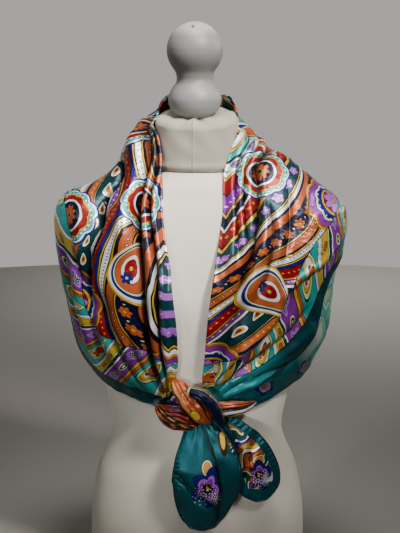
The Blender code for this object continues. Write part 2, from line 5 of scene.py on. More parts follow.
import bpy
import numpy as np
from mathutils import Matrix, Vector


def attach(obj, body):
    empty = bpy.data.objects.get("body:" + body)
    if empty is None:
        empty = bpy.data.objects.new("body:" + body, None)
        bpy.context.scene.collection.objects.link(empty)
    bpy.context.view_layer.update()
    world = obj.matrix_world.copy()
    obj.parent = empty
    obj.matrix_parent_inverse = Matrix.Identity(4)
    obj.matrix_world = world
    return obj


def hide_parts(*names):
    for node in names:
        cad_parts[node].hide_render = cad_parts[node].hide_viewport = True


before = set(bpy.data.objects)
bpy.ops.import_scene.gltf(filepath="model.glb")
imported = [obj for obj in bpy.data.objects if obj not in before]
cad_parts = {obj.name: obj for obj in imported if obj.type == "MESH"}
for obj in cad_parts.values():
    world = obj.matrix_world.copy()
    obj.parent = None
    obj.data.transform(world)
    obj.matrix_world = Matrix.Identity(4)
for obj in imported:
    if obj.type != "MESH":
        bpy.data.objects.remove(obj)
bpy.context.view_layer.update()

# Metres, +Z up, the form faces -Y. A turn is an angle round the Z axis in degrees, 0 at the front,
# positive towards +X and 180 at the back. "Across" runs over the folded square, 0 at the neck fold
# and 1 at the hem. "Way" is the share of the way from the centre back to the knot, left negative.


# the form and the surface that the scarf hangs on

def table(names, rows, plain=""):
    # named columns: millimetres made metres, apart from the plain ones
    columns = dict(zip(names.split(), np.array(rows, float).T))
    return {name: values / (1 if name in plain.split() else 1000) for name, values in columns.items()}


torsoRings = table("height side front back", [
    (0, 158, 104, 116),
    (60, 165, 109, 124),
    (120, 164, 108, 122),  # hips
    (190, 154, 101, 106),
    (265, 129, 91, 84),  # waist
    (315, 137, 99, 88),
    (360, 148, 108, 94),
    (410, 153, 115, 100),
    (460, 155, 117, 105),  # bust
    (510, 157, 110, 110),
    (560, 166, 99, 110),
    (588, 179, 90, 103),  # shoulder tips
    (604, 167, 84, 96),
    (617, 138, 78, 89),
    (629, 107, 73, 81),
    (639, 77, 67, 72),
    (647, 63, 61, 64),
    (652, 59, 58, 60),
    (724, 58, 57, 59),
])

# a tent number says how the ring runs from front to side: 1 is a straight line, 2 a round curve
capeRings = table("height left right front back leftTent rightTent", plain="leftTent rightTent", rows=[
    (100, 150, 150, 112, 134, 2.3, 2.3),
    (220, 150, 150, 112, 130, 2.3, 2.3),
    (320, 146, 156, 114, 124, 2.3, 2.3),
    (345, 154, 166, 119, 123, 2.3, 2.3),
    (380, 175, 183, 127, 123, 2.3, 2.3),
    (412, 185, 195, 134, 124, 2.3, 2.3),
    (450, 192, 200, 138, 126, 2.3, 2.3),
    (485, 200, 202, 138, 128, 2.3, 2.3),
    (545, 210, 215, 124, 129, 2.3, 2.2),
    (576, 212, 221, 112, 127, 2.2, 1.9),
    (595, 208, 218, 105, 123, 2, 1.7),
    (606, 201, 211, 100, 119, 1.8, 1.6),
    (615, 187, 202, 96, 115, 1.7, 1.5),
    (627, 163, 186, 92, 110, 1.6, 1.4),
    (640, 140, 169, 87, 104, 1.6, 1.35),
    (650, 127, 155, 82, 98, 1.7, 1.35),
    (665, 113, 135, 77, 89, 1.7, 1.35),
    (687, 99, 102, 72, 80, 1.7, 1.35),
    (711, 89, 79, 68, 72, 1.75, 1.6),
    (737, 73, 64, 66, 69, 1.9, 2),
    (760, 65, 62, 65, 67, 2.3, 2.3),
])

stationColumns = "neckTurn neckHeight hemTurn hemHeight"
leftStations = table(stationColumns, plain="neckTurn hemTurn", rows=[
    (180, 757, 180, 150),
    (150, 757, 163, 222),
    (122, 754, 143, 325),
    (100, 744, 122, 430),
    (80, 731, 107, 508),
    (56, 714, 97, 550),
    (45, 692, 90, 548),
    (35, 655, 86, 520),
    (25, 614, 82, 485),
    (18, 569, 81, 444),
    (12, 524, 77, 405),
    (9, 480, 70, 368),
    (7, 432, 58, 345),
    (7, 395, 43, 335),
    (9, 368, 31, 329),
    (9, 354, 24, 325),
])
rightStations = table(stationColumns, plain="neckTurn hemTurn", rows=[
    (180, 757, 180, 150),
    (150, 757, 163, 222),
    (122, 746, 143, 325),
    (100, 735, 124, 430),
    (82, 721, 111, 505),
    (58, 699, 101, 545),
    (42, 667, 94, 550),
    (31, 634, 90, 520),
    (25, 600, 86, 485),
    (20, 565, 82, 456),
    (16, 525, 77, 430),
    (13, 483, 70, 404),
    (11, 435, 58, 371),
    (10, 395, 44, 345),
    (9, 368, 32, 333),
    (10, 350, 22, 327),
])

# A fold is (width, rise, edge, ways, acrosses): width and rise in millimetres, the places that it runs
# through in percent. Rise is negative for a trough, and edge 2 is a soft wave, 1.2 a crease.
Fold = namedtuple("Fold", "width rise edge ways acrosses")


def foldsOf(rows):
    return [Fold(row[0] / 1000, row[1] / 1000, row[2], *np.array(row[3:]) / 100) for row in rows]


leftFolds = foldsOf([
    (5.8, 6, 2, (28, 46, 52, 60, 72, 81, 110), (1, 1.4, 5, 4.2, 6.8, 13, 24)),
    (3.8, -11, 1.5, (27, 35, 44, 51, 56, 61, 72, 81, 110), (1.8, 2.3, 2.8, 8.3, 8, 7, 12, 19, 33)),
    (7, 6, 2, (24, 34, 44, 51, 56, 61, 72, 81, 110), (2.7, 3.6, 5.5, 11.8, 12, 11.2, 16.5, 25, 42)),
    (5.2, -16, 1.4, (14, 22, 30, 36, 42, 46, 52, 59, 69, 75, 82, 110),
     (3.4, 3.6, 4.7, 6.2, 8.3, 12.1, 16, 16.3, 20.8, 25, 32.5, 55)),
    (16, 3, 2, (6, 15, 24, 36), (12, 9, 9, 13)),
    (15, 12, 2, (26, 33, 38, 43, 50, 62), (10, 12.5, 15, 20, 25, 28)),
    (18, 6, 2, (16, 24, 32, 42), (19, 19, 20, 24)),
    (6.2, -17, 1.4, (26, 38, 41, 44, 48, 51, 54, 59, 66), (25, 30, 36, 41, 41.2, 44.6, 52, 56, 59)),
    (26, 6, 2, (44, 60, 72, 85, 110), (29, 35, 42, 58, 72)),
    (16, 7, 2, (38, 48, 55, 62, 78), (58, 56, 61, 68, 76)),
    (30, 5, 2, (24, 33, 41, 50), (66, 60, 56, 56)),
    (5.5, -9, 1.5, (50, 56, 62), (66, 61.5, 60)),
    (8, -4, 1.6, (46, 58, 70), (76, 78, 80)),
    (7, -6, 1.5, (60, 75, 88, 110), (47, 53, 66, 79)),
    (7, -5, 1.5, (66, 80, 92, 110), (63, 70, 79, 88)),
    (11, 4, 2, (62, 75, 88, 110), (54, 61, 72, 83)),
    (5.5, -5, 1.5, (70, 82, 110), (36, 46, 64)),
])
rightFolds = foldsOf([
    (5.5, 4, 2, (20, 36, 48, 70), (3, 3, 5.5, 12)),
    (3, -5, 1.5, (18, 36, 48, 62), (5.5, 5.6, 8, 15)),
    (5, 4, 2, (20, 36, 48, 62), (7.8, 8, 10.5, 18)),
    (3, -4, 1.5, (18, 36, 48, 60), (10, 10.5, 13.5, 21)),
    (6, 4, 2, (20, 36, 46, 60), (12.5, 12.8, 16.5, 24)),
    (5, -10, 1.4, (20, 30, 36, 41, 45, 50, 57, 63, 72),
     (17.5, 16, 15.6, 20.5, 22.1, 22.5, 22.8, 20.5, 17)),
    (8.5, 6, 2, (30, 38, 44, 52, 62, 72), (21, 20, 25.2, 27.2, 27.2, 24)),
    (5, -7, 1.5, (40, 47, 52, 60, 70), (22, 31, 34.5, 34.5, 31)),
    (5.5, -4.5, 1.5, (34, 42, 50, 58), (34, 40, 43, 43)),
    (6, -4.5, 1.5, (30, 38, 46), (44, 50, 55)),
    (30, 5, 2, (22, 40, 60, 85), (25, 30, 36, 45)),
    (30, -3, 2, (40, 55, 75), (50, 44, 36)),
    (10, 3, 2, (60, 72, 80, 90, 110), (64, 60, 50, 42, 34)),
    (6, -6, 1.5, (61, 72, 79, 86, 110), (74, 68, 57.5, 51, 42)),
    (10, 5, 2, (66, 75, 83, 90, 110), (86, 80, 66, 58, 50)),
    (6, -6, 1.5, (72, 79, 84.5, 90, 110), (95, 89, 75, 67, 60)),
    (9, 4, 2, (80, 86, 93, 110), (98, 86, 77, 68)),
    (5.5, -5, 1.5, (82, 88.5, 110), (100, 90, 78)),
    (11, -5, 1.8, (66, 80, 110), (22, 22, 20)),
    (50, 9, 2, (40, 50, 62, 74, 86), (95, 100, 105, 105, 105)),
])
neckFolds = foldsOf([  # the gathered rolls round the back of the neck
    (15, 6, 2, (-10, 26), (5.5, 5.5)),
    (9, -7, 1.7, (-10, 22), (10.5, 10.5)),
    (22, 7, 2, (-10, 20), (16.5, 16.5)),
])
backFolds = [  # turn, rise in millimetres, spread in degrees
    (-142, 9, 5.5), (-158, 6, 5), (-150, -3, 3), (-175, 10, 5.5), (-166, -3, 3), (165, 7, 5.5),
    (174, -3, 3), (150, 5, 5), (137, 9, 5.5), (143, -3, 3),
]

# the neck edge drawn in towards the form: width as a share of the section, depth in metres, and
# the ways between which it fades in and out
neckDraw = {
    "left": (0.055, 0.020, 0.09, 0.19, 0.65, 0.75),
    "right": (0.060, 0.024, 0.09, 0.19, 0.61, 0.71),
}

# the folded-over edge on the right front: beyond this line the cloth drops behind a soft lip
turnedEdge = {
    "ways": (0.38, 0.423, 0.475, 0.512, 0.56, 0.61, 0.653, 0.693, 0.742, 0.782, 0.823, 0.887, 1.0),
    "acrosses": (0.90, 0.829, 0.758, 0.713, 0.621, 0.542, 0.5, 0.512, 0.483, 0.433, 0.367, 0.317, 0.29),
    "lip": 0.0030,
    "lipWidth": 0.007,
    "drop": 0.0064,
    "dropWidth": 0.0035,
    "starts": 0.40,
}

formValues = {
    "height": 0.652,
    "neckTop": 0.7200,
    "neckRing": (0.058, 0.057),  # half its width and half its depth
    "neckTilt": 0.185,  # the neck block's top rises by this share of the way from its front to its back
    "neckRounding": 0.009,
    "footTop": 0.765,  # the finial's foot stands square to the neck's top, and is level from here up
    "footRounding": 0.006,
    "roundness": 2.3,
    "bustTurn": 36,
    "bustHeight": 0.455,
    "bustRise": 0.013,
    "bustTurnSpread": 20,
    "bustHeightSpread": 0.050,
    "ballRadius": 0.0405,
    "ballCentre": 0.8225,
    "finialShift": -0.003,
}

drapeValues = {
    "layer": 0.0007,  # thickness of the folded silk
    "clearance": 0.0009,  # least distance from the form
    "ease": 0.0010,
    "puff": 0.0016,  # how full the ridges are and how narrow the troughs
    "curl": 0.0018,  # radius of the folded neck edge
    "capeRoundness": 2.3,
    "shoulder": 4 / 15,
    "reach": 1.10,  # how far the fronts go on beneath the knot
    "trimWays": (0.40, 0.48, 0.54, 0.60, 0.68, 0.76, 0.86, 0.98),
    "trim": (0, 0.07, 0.14, 0.15, 0.12, 0.095, 0.065, 0),  # how much the hem is drawn up there
    "foldFade": 0.07,  # the way over which a fold begins and ends
    "narrow": 0.10,  # a section shorter than this has lower folds
    "deepTrough": 0.007,
    "length": 0.75,  # about the metres from the centre back to the knot
    "frontRows": 152,
    "backRows": 96,
    "columns": 118,
    "hemRadius": 0.0011,
}


def smooth(known, values, wanted):
    # monotone cubic through (known, values): slopes are harmonic means, so it never overshoots
    known, values = np.asarray(known, float), np.asarray(values, float)
    if len(known) == 2:
        return np.interp(wanted, known, values)
    step, slope = np.diff(known), np.diff(values) / np.diff(known)
    tangent = np.empty_like(values)
    tangent[0], tangent[-1] = slope[0], slope[-1]
    before, after = slope[:-1], slope[1:]
    weight = step[1:] + 2 * step[:-1], 2 * step[1:] + step[:-1]
    with np.errstate(divide="ignore", invalid="ignore"):
        mean = (weight[0] + weight[1]) / (weight[0] / before + weight[1] / after)
    tangent[1:-1] = np.where(before * after > 0, mean, 0.0)
    at = np.clip(np.asarray(wanted, float), known[0], known[-1])
    i = np.clip(np.searchsorted(known, at, side="right") - 1, 0, len(step) - 1)
    t = (at - known[i]) / step[i]
    near, far = values[i], values[i + 1]
    rise = step[i] * (tangent[i] * t * (1 - t) ** 2 - tangent[i + 1] * t**2 * (1 - t))
    return near + (far - near) * t**2 * (3 - 2 * t) + rise


def unit(vectors):
    return vectors / (np.linalg.norm(vectors, axis=-1, keepdims=True) + 1e-12)


def softStep(value):
    value = np.clip(value, 0, 1)
    return value * value * (3 - 2 * value)


def bell(distance, width=1.0):
    return np.exp(-((distance / width) ** 2))


def ringRadius(turn, side, depth, roundness):
    # distance to a superellipse: (|sin|/side)^n + (|cos|/depth)^n, to the power -1/n
    angle = np.radians(turn)
    share = (np.abs(np.sin(angle)) / side) ** roundness + (np.abs(np.cos(angle)) / depth) ** roundness
    return share ** (-1 / roundness)


def ringAt(rings, names, height):
    return [smooth(rings["height"], rings[name], height) for name in names.split()]


def formRadius(turn, height):
    # the form's ring at that height, and a round mound for each side of the bust
    v = formValues
    side, front, back = ringAt(torsoRings, "side front back", height)
    radius = ringRadius(turn, side, np.where(np.abs(turn) < 90, front, back), v["roundness"])
    aside = (np.abs(turn) - v["bustTurn"]) / v["bustTurnSpread"]
    above = (height - v["bustHeight"]) / v["bustHeightSpread"]
    return radius + v["bustRise"] * np.exp(-(aside**2) - above**2)


def capeRadius(turn, height):
    # the ring of the cape at that height: a front quarter with a low tent number spans straight
    left, right, front, back = ringAt(capeRings, "left right front back", height)
    leftTent, rightTent = ringAt(capeRings, "leftTent rightTent", height)
    aside, ahead = np.sin(np.radians(turn)), np.cos(np.radians(turn))
    tent = np.where(aside < 0, leftTent, rightTent)
    midway = np.where(ahead > 0, np.sin(np.radians(2 * turn)) ** 2, 0)
    roundness = drapeValues["capeRoundness"]
    side, depth = np.where(aside < 0, left, right), np.where(ahead > 0, front, back)
    return ringRadius(turn, side, depth, roundness + (tent - roundness) * midway)


def neckRise(points):
    # the slope times the distance from the neck block's front edge
    frontEdge = ringRadius(0, *formValues["neckRing"], formValues["roundness"])
    return formValues["neckTilt"] * (points[..., 1] + frontEdge)


def placed(turn, height, radius):
    angle = np.radians(turn)
    return np.stack([radius * np.sin(angle), -radius * np.cos(angle), height + 0 * angle], axis=-1)


def gridNormals(points):
    # the cross product of the grid's two directions, turned away from the form's axis
    normal = unit(np.cross(np.gradient(points, axis=0), np.gradient(points, axis=1)))
    outward = points * [1, 1, 0] + [0, 0, 0.03]
    return normal * np.sign((normal * outward).sum(-1).mean())


def formDistance(points):
    # how far the points are from the form: radial gap divided by the steepness of that gap
    def gap(p):
        turn = np.degrees(np.arctan2(p[..., 0], -p[..., 1]))
        height = np.clip(p[..., 2], 0, torsoRings["height"][-1])
        return np.hypot(p[..., 0], p[..., 1]) - formRadius(turn, height)

    step = 1e-4
    here = gap(points)
    slope = np.stack([(gap(points + step * axis) - here) / step for axis in np.eye(3)], axis=-1)
    steepness = np.linalg.norm(slope, axis=-1, keepdims=True)
    return here / steepness[..., 0], slope / steepness


def clearOfForm(points):
    # moves points out to the least distance from the form, softly where the cloth meets it
    distance, ease = drapeValues["layer"] + drapeValues["clearance"], drapeValues["ease"]
    gap, away = formDistance(points)
    short = distance - gap
    eased = np.where(short > ease, short, np.clip(short + ease, 0, None) ** 2 / (4 * ease))
    points = points + eased[..., None] * away
    for _ in range(4):
        gap, away = formDistance(points)
        points = points + np.maximum(distance - gap, 0)[..., None] * away
    return points


def stationLine(name, way):
    # a column of the stations from the left end to the right one, going on straight past both
    left, right = leftStations[name][::-1], rightStations[name][1:]
    if "Turn" in name:
        left = 360 - left
    places, values = np.linspace(-1, 1, len(left) + len(right)), np.concatenate([left, right])
    past = way - np.clip(way, -1, 1)
    slope = np.where(past > 0, values[-1] - values[-2], values[1] - values[0]) / (places[1] - places[0])
    return smooth(places, values, way) + past * slope


def foldHeight(folds, way, across, section):
    # sum of rise * exp(-|distance / width|^edge) over the folds, faded at both ends of each, and how
    # deep in a narrow trough each point lies, from 0 to 1
    v = drapeValues
    total, trough = np.zeros(across.shape), np.zeros(across.shape)
    room = np.minimum(1, section / v["narrow"])
    for fold in folds:
        middle = smooth(fold.ways, fold.acrosses, way)
        aside = np.abs(across - middle) * section / fold.width
        ends = (way - fold.ways[0]) / v["foldFade"], (fold.ways[-1] - way) / v["foldFade"]
        fade = softStep(ends[0]) * softStep(ends[1])
        height = fold.rise * fade * room * np.exp(-(aside**fold.edge))
        total = total + height
        if fold.edge < 2:
            trough = trough + np.maximum(-height, 0) / v["deepTrough"]
    return total, np.clip(trough, 0, 1)


def drawnIn(values, way, across, section):
    # depth * exp(-(across / width)^2), never deeper than 0.9 of its width
    width, depth, first, full, fading, last = values
    window = softStep((way - first) / (full - first)) * softStep((last - way) / (last - fading))
    return np.minimum(depth, 0.9 * width * section) * window * bell(across, width)


def wrinkles(u, v, seed, longest, shortest, count, height):
    # a sum of sine waves in many directions, with lengths between the two and random starts
    draw = np.random.default_rng(seed)
    total = 0
    for _ in range(count):
        length = draw.uniform(shortest, longest)
        angle = draw.uniform(0, math.pi)
        start = draw.uniform(0, 2 * math.pi)
        total = total + np.sin((u * math.cos(angle) + v * math.sin(angle)) * 2 * math.pi / length + start)
    return total * height / math.sqrt(count)


def arcLengths(points, axis):
    steps = np.linalg.norm(np.diff(points, axis=axis), axis=-1)
    start = np.zeros_like(np.take(steps, [0], axis=axis))
    return np.concatenate([start, np.cumsum(steps, axis=axis)], axis=axis)


def scarfSurface(ways, acrosses):
    # each row runs from the neck fold to the hem over the cape's surface, its points spread by arc
    # length; the folds then lift or sink it along its normal, and the form pushes it out
    across = np.broadcast_to(acrosses, (len(ways), np.shape(acrosses)[-1]))
    ends = [stationLine(name, ways)[:, None] for name in stationColumns.split()]

    def liesAt(step):
        turn = ends[0] + (ends[2] - ends[0]) * step
        height = ends[1] + (ends[3] - ends[1]) * step
        return placed(turn, height, capeRadius(turn, height))

    steps = np.linspace(0, 1.4, 141)
    reach = arcLengths(liesAt(steps), 1)
    section = reach[:, 100:101]  # the length as far as step 1
    step = np.stack([np.interp(a * whole, r, steps) for a, whole, r in zip(across, section, reach)])
    base = liesAt(step)
    signed = np.broadcast_to(np.asarray(ways)[:, None], across.shape)
    way = np.abs(signed)

    left = foldHeight(leftFolds, way, across, section)
    right = foldHeight(rightFolds, way, across, section)
    lift, sunk = [np.where(signed < 0, *pair) for pair in zip(left, right)]
    lift = lift + foldHeight(neckFolds, way, across, section)[0]
    drawn = [drawnIn(neckDraw[side], way, across, section) for side in ("left", "right")]
    lift = lift - np.where(signed < 0, *drawn)
    turn = np.degrees(np.arctan2(base[..., 0], -base[..., 1]))
    back = sum(
        rise / 1000 * bell((turn - middle + 180) % 360 - 180, spread) for middle, rise, spread in backFolds
    )
    lift = lift + back * np.clip((across - 0.2) / 0.3, 0, 1)

    t = turnedEdge
    beyond = (across - smooth(t["ways"], t["acrosses"], way)) * section
    room = np.minimum(1, section / drapeValues["narrow"])
    shown = (signed > 0) * softStep((way - t["starts"]) / 0.08) * room
    lip = t["lip"] * bell(beyond + t["dropWidth"], t["lipWidth"])
    lift = lift + shown * (lip - t["drop"] * softStep(beyond / t["dropWidth"] + 0.5))

    # small creases, stronger towards the knot
    u, v = signed * drapeValues["length"], across * section
    loose = 0.35 + 0.65 * softStep((way - 0.55) / 0.35)
    lift = lift + loose * wrinkles(u, v, 7, 0.075, 0.030, 9, 0.0008)
    lift = lift + loose * wrinkles(u, v, 8, 0.026, 0.014, 9, 0.00022)

    normal = gridNormals(base)
    folded = base + normal * lift[..., None]
    full = np.clip(way / 0.15, 0, 1)[..., None] * drapeValues["puff"]
    folded = folded + (gridNormals(folded) - normal) * full
    return clearOfForm(folded), np.stack([np.where(signed > 0, beyond, -1.0), sunk], axis=-1)


# meshes

def meshObject(name, points, faces, surface, layers=()):
    mesh = bpy.data.meshes.new(name)
    mesh.from_pydata(np.asarray(points, float), [], [tuple(f) for f in faces])
    corner = np.empty(len(mesh.loops), np.int32)
    mesh.loops.foreach_get("vertex_index", corner)
    for title, values in layers:
        layer = mesh.uv_layers.new(name=title)
        layer.data.foreach_set("uv", np.asarray(values, np.float32)[corner].ravel())
    mesh.shade_smooth()
    mesh.materials.append(surface)
    mesh.validate()
    made = bpy.data.objects.new(name, mesh)
    bpy.context.collection.objects.link(made)
    return made


def gridFaces(index):
    quads = index[:-1, :-1], index[1:, :-1], index[1:, 1:], index[:-1, 1:]
    return np.stack(quads, axis=-1).reshape(-1, 4)


def shell(name, outer, surface, layers):
    # a thin closed wall: the outer face, the same face moved in along its normals, and four rims
    normal = gridNormals(outer)
    inner = outer - normal * drapeValues["layer"]
    rows, columns = outer.shape[:2]
    index = np.arange(rows * columns).reshape(rows, columns)
    under = index + rows * columns
    faces = [gridFaces(index), gridFaces(under)[:, ::-1]]
    ends = (under[0], index[0]), (index[-1], under[-1])
    sides = (index[:, 0], under[:, 0]), (under[:, -1], index[:, -1])
    faces += [np.stack([a[:-1], b[:-1], b[1:], a[1:]], axis=-1) for a, b in ends + sides]
    faces = np.concatenate(faces)
    first = np.cross(outer[1, 0] - outer[0, 0], outer[0, 1] - outer[0, 0])
    if (first * normal[0, 0]).sum() < 0:
        faces = faces[:, ::-1]
    points = np.concatenate([outer.reshape(-1, 3), inner.reshape(-1, 3)])
    doubled = [(title, np.concatenate([v.reshape(-1, 2)] * 2)) for title, v in layers]
    return meshObject(name, points, faces, surface, doubled)


def tube(name, rings, surface, layers=()):
    # closed rings of points joined in a row, with a pole at each end
    rows, columns = rings.shape[:2]
    index = np.arange(rows * columns).reshape(rows, columns)
    ahead = np.roll(index, -1, axis=1)
    faces = np.stack([index[:-1], ahead[:-1], ahead[1:], index[1:]], axis=-1).reshape(-1, 4).tolist()
    for k in range(columns):
        faces.append((ahead[0, k], index[0, k], rows * columns))
        faces.append((index[-1, k], ahead[-1, k], rows * columns + 1))
    points = np.concatenate([rings.reshape(-1, 3), [rings[0].mean(0)], [rings[-1].mean(0)]])
    middle = rings.mean(axis=1)
    spin = np.cross(rings[1, 0] - middle[1], rings[1, 1] - middle[1])
    if (spin * (middle[2] - middle[0])).sum() <= 0:
        faces = [tuple(f)[::-1] for f in faces]
    ends = [(title, np.concatenate([v.reshape(-1, 2), [v[0, 0]], [v[-1, 0]]])) for title, v in layers]
    return meshObject(name, points, faces, surface, ends)


def dress(made, slot, *nodes):
    # the piece rides on the one body and stands for these nodes
    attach(made, "root")
    if nodes:
        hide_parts(*nodes)
    return made


def rolledHem(name, path, outward, silk, pucker=1.0):
    # rings of eight points round the cloth's edge, set square to it
    along = unit(np.gradient(path, axis=0))
    wide = unit(np.cross(along, outward))
    up = np.cross(wide, along)
    angle = np.linspace(0, 2 * math.pi, 8, endpoint=False)[None, :, None]
    radius = np.broadcast_to(drapeValues["hemRadius"] * pucker, (len(path),))[:, None, None]
    rings = path[:, None] + radius * (wide[:, None] * np.cos(angle) + up[:, None] * np.sin(angle))
    return dress(tube(name, rings, silk), "silk_border")


# shader maths

def colour(red, green, blue):
    shares = [c / 255 for c in (red, green, blue)]
    return tuple(s / 12.92 if s <= 0.04045 else ((s + 0.055) / 1.055) ** 2.4 for s in shares) + (1.0,)


dye = {
    "orange": colour(172, 82, 42),
    "peach": colour(212, 134, 78),
    "red": colour(134, 8, 16),
    "royal": colour(8, 15, 110),
    "navy": colour(3, 10, 44),
    "teal": colour(6, 54, 60),
    "turquoise": colour(28, 156, 152),
    "purple": colour(120, 38, 142),
    "lilac": colour(170, 90, 198),
    "gold": colour(198, 160, 44),
    "white": colour(226, 222, 218),
    "mint": colour(206, 216, 146),
    "brown": colour(58, 16, 10),
    "ink": colour(5, 4, 6),
}


def plug(value, socket):
    if isinstance(value, Wire):
        value.tree.links.new(value.socket, socket)
    else:
        socket.default_value = value


class Wire:
    # a node socket: arithmetic on it adds Math nodes, and node() adds any other kind of node
    def __init__(self, tree, socket=None):
        self.tree, self.socket = tree, socket

    def node(self, kind, settings=None, inputs=None, output=0):
        made = self.tree.nodes.new(kind)
        for name, value in (settings or {}).items():
            setattr(made, name, value)
        for name, value in (inputs or {}).items():
            plug(value, made.inputs[name])
        return Wire(self.tree, made.outputs[output])

    def outputs(self):
        return [Wire(self.tree, socket) for socket in self.socket.node.outputs]

    def maths(self, operation, *others):
        return self.node("ShaderNodeMath", {"operation": operation}, dict(enumerate((self,) + others)))

    def clamped(self):
        return self.node("ShaderNodeClamp", inputs={0: self})

    def __rsub__(self, other):
        return self.node("ShaderNodeMath", {"operation": "SUBTRACT"}, {0: other, 1: self})

    __add__ = __radd__ = partialmethod(maths, "ADD")
    __sub__ = partialmethod(maths, "SUBTRACT")
    __mul__ = __rmul__ = partialmethod(maths, "MULTIPLY")
    __truediv__ = partialmethod(maths, "DIVIDE")
    __gt__ = partialmethod(maths, "GREATER_THAN")
    __lt__ = partialmethod(maths, "LESS_THAN")


def mixed(mask, under, over):
    start = mask if isinstance(mask, Wire) else under
    settings = {"data_type": "RGBA", "clamp_factor": True}
    return start.node("ShaderNodeMix", settings, {0: mask, 6: under, 7: over}, output=2)


def mixedNumber(mask, under, over):
    return mask.node("ShaderNodeMix", {"data_type": "FLOAT"}, {0: mask, 2: under, 3: over})


def split(vector):
    return vector.node("ShaderNodeSeparateXYZ", inputs={0: vector}).outputs()


def joined(x, y):
    return x.node("ShaderNodeCombineXYZ", inputs={0: x, 1: y})


def uvPair(tree, title):
    return split(Wire(tree).node("ShaderNodeUVMap", {"uv_map": title}))[:2]


def objectPlace(tree):
    return Wire(tree).node("ShaderNodeTexCoord", output=3)


def noise(vector, scale, detail=2.0, rough=0.5, flat=True):
    inputs = {"Vector": vector, "Scale": scale, "Detail": detail, "Roughness": rough}
    return vector.node("ShaderNodeTexNoise", {"noise_dimensions": "2D" if flat else "3D"}, inputs)


def ramp(value, stops, kind="CONSTANT"):
    made = value.node("ShaderNodeValToRGB", inputs={0: value})
    colours = made.socket.node.color_ramp
    colours.interpolation = kind
    while len(colours.elements) < len(stops):
        colours.elements.new(1.0)
    for element, (place, tint) in zip(colours.elements, stops):
        element.position, element.color = place, tint
    return made


def named(text):
    # "gold 0, ink 0.24" as pairs of a name and a number
    return [(name, float(number)) for name, number in (part.split() for part in text.split(","))]


def dyed(rings):
    return [(place, dye[name]) for name, place in named(rings)]


def banded(share, bands, line):
    # stripes with their millimetres, side by side, each after the first begun by a thin ink line
    stops, place = [], 0.0
    bands = named(bands)
    period = sum(wide for _, wide in bands)
    for k, (name, wide) in enumerate(bands):
        if k:
            stops.append((place / period, dye["ink"]))
        stops.append(((place + line * (k > 0)) / period, dye[name]))
        place += wide
    return ramp(share, stops)


def ringed(tint, share, rings, keep=None):
    # where share is under 1 the named rings cover the tint, each from its share on
    mask = share < 1.0 if keep is None else (share < 1.0) * keep
    return mixed(mask, tint, ramp(share, dyed(rings)))


def length2(x, y):
    return (x * x + y * y).maths("SQRT")


def tiled(value, pitch, shift=0.0):
    # how far it is from the middle of its tile
    return ((value / pitch + shift).maths("FRACT") - 0.5) * pitch


def blossom(x, y, radius, petals):
    # share of the way to the edge, which is radius * (0.62 + 0.38 |cos(n/2 angle)|)
    angle = y.maths("ARCTAN2", x)
    edge = (angle * (petals / 2)).maths("COSINE").maths("ABSOLUTE") * 0.38 + 0.62
    return length2(x, y) / (edge * radius)


def teardrop(x, y, half, long, bend):
    # r with r = 1 on a drop: x bent by y squared, its width tapering from the foot to the tip
    bent = x - y * y * bend
    t = y / long
    wide = (0.66 - t * 0.36) * half
    return ((bent / wide) * (bent / wide) + t * t).maths("SQRT")


def dotRing(x, y, radius, count, size):
    # small discs evenly spaced on a circle
    angle = y.maths("ARCTAN2", x) * (count / (2 * math.pi))
    along = (angle.maths("FRACT") - 0.5) * (2 * math.pi * radius / count)
    return length2(along, length2(x, y) - radius) < size


def beaded(tint, x, y, rings, keep=None):
    # rings of mint dots: radius, how many, and their size
    for radius, count, size in rings:
        dots = dotRing(x, y, radius, count, size)
        tint = mixed(dots if keep is None else dots * keep, tint, dye["mint"])
    return tint


def newMaterial(name):
    made = bpy.data.materials.new(name)
    made.use_nodes = True
    return made, made.node_tree


def satin(tree, tint, rough, bump, values):
    shader = tree.nodes["Principled BSDF"]
    for name, value in {**values, "Base Color": tint, "Roughness": rough}.items():
        plug(value, shader.inputs[name])
    if bump:
        height, distance = bump
        inputs = {"Strength": 1.0, "Distance": distance, "Height": height}
        plug(height.node("ShaderNodeBump", inputs=inputs), shader.inputs["Normal"])


# the silks

printValues = {
    "bandPeriod": 0.3,  # metres across the flowing stripes before they repeat
    "motifSpacing": 0.135,  # metres between the large motifs
    "motifRadius": (0.040, 0.052),
    "strapPitch": 0.128,
    "strapZone": 0.085,  # how far the strap pattern reaches in from the hem
    "turnedZone": 0.075,  # the same on the turned-over part of the right front
    # the dark border, (metres along the hem from the centre back, width): it turns under at the sides
    "borders": ((-0.79, 0.016), (-0.70, 0.012), (-0.50, 0.009), (0.30, 0.006), (0.57, 0.007), (0.66, 0.018),
                (0.71, 0.028), (0.80, 0.036)),
    "silk": {"Roughness": 0.34, "Metallic": 0.42, "Specular IOR Level": 0.42, "Anisotropic": 0.5},
    "tailSilk": {"Roughness": 0.44, "Metallic": 0.62, "Specular IOR Level": 0.45, "Anisotropic": 0.4},
    "lowerLayerDark": 0.045,  # metres along the lower layer's hem from its middle to its dark part
    # painted shade: the silk's colour is darkened towards ink at the bottom of a deep fold, by this much
    "paintedTroughShade": 0.75,  # how much darker the cloth is at the bottom of a deep fold
    "knotGirth": 0.0754,  # metres of silk round a turn of the knot
}

# the stripes of the field in millimetres: three groups of 100 make one repeat
bandGroups = [
    "navy 20, gold 3, orange 12, navy 2, gold 3, white 8, gold 3, royal 5, red 16, gold 3, purple 7, "
    "white 5, teal 13",
    "teal 14, mint 2, orange 12, royal 4, gold 4, white 9, gold 4, turquoise 9, navy 3, white 16, gold 4, "
    "red 14, purple 5",
    "purple 10, gold 4, navy 8, white 4, red 16, brown 2, gold 6, teal 22, gold 3, white 6, navy 3, "
    "orange 12, navy 4",
]
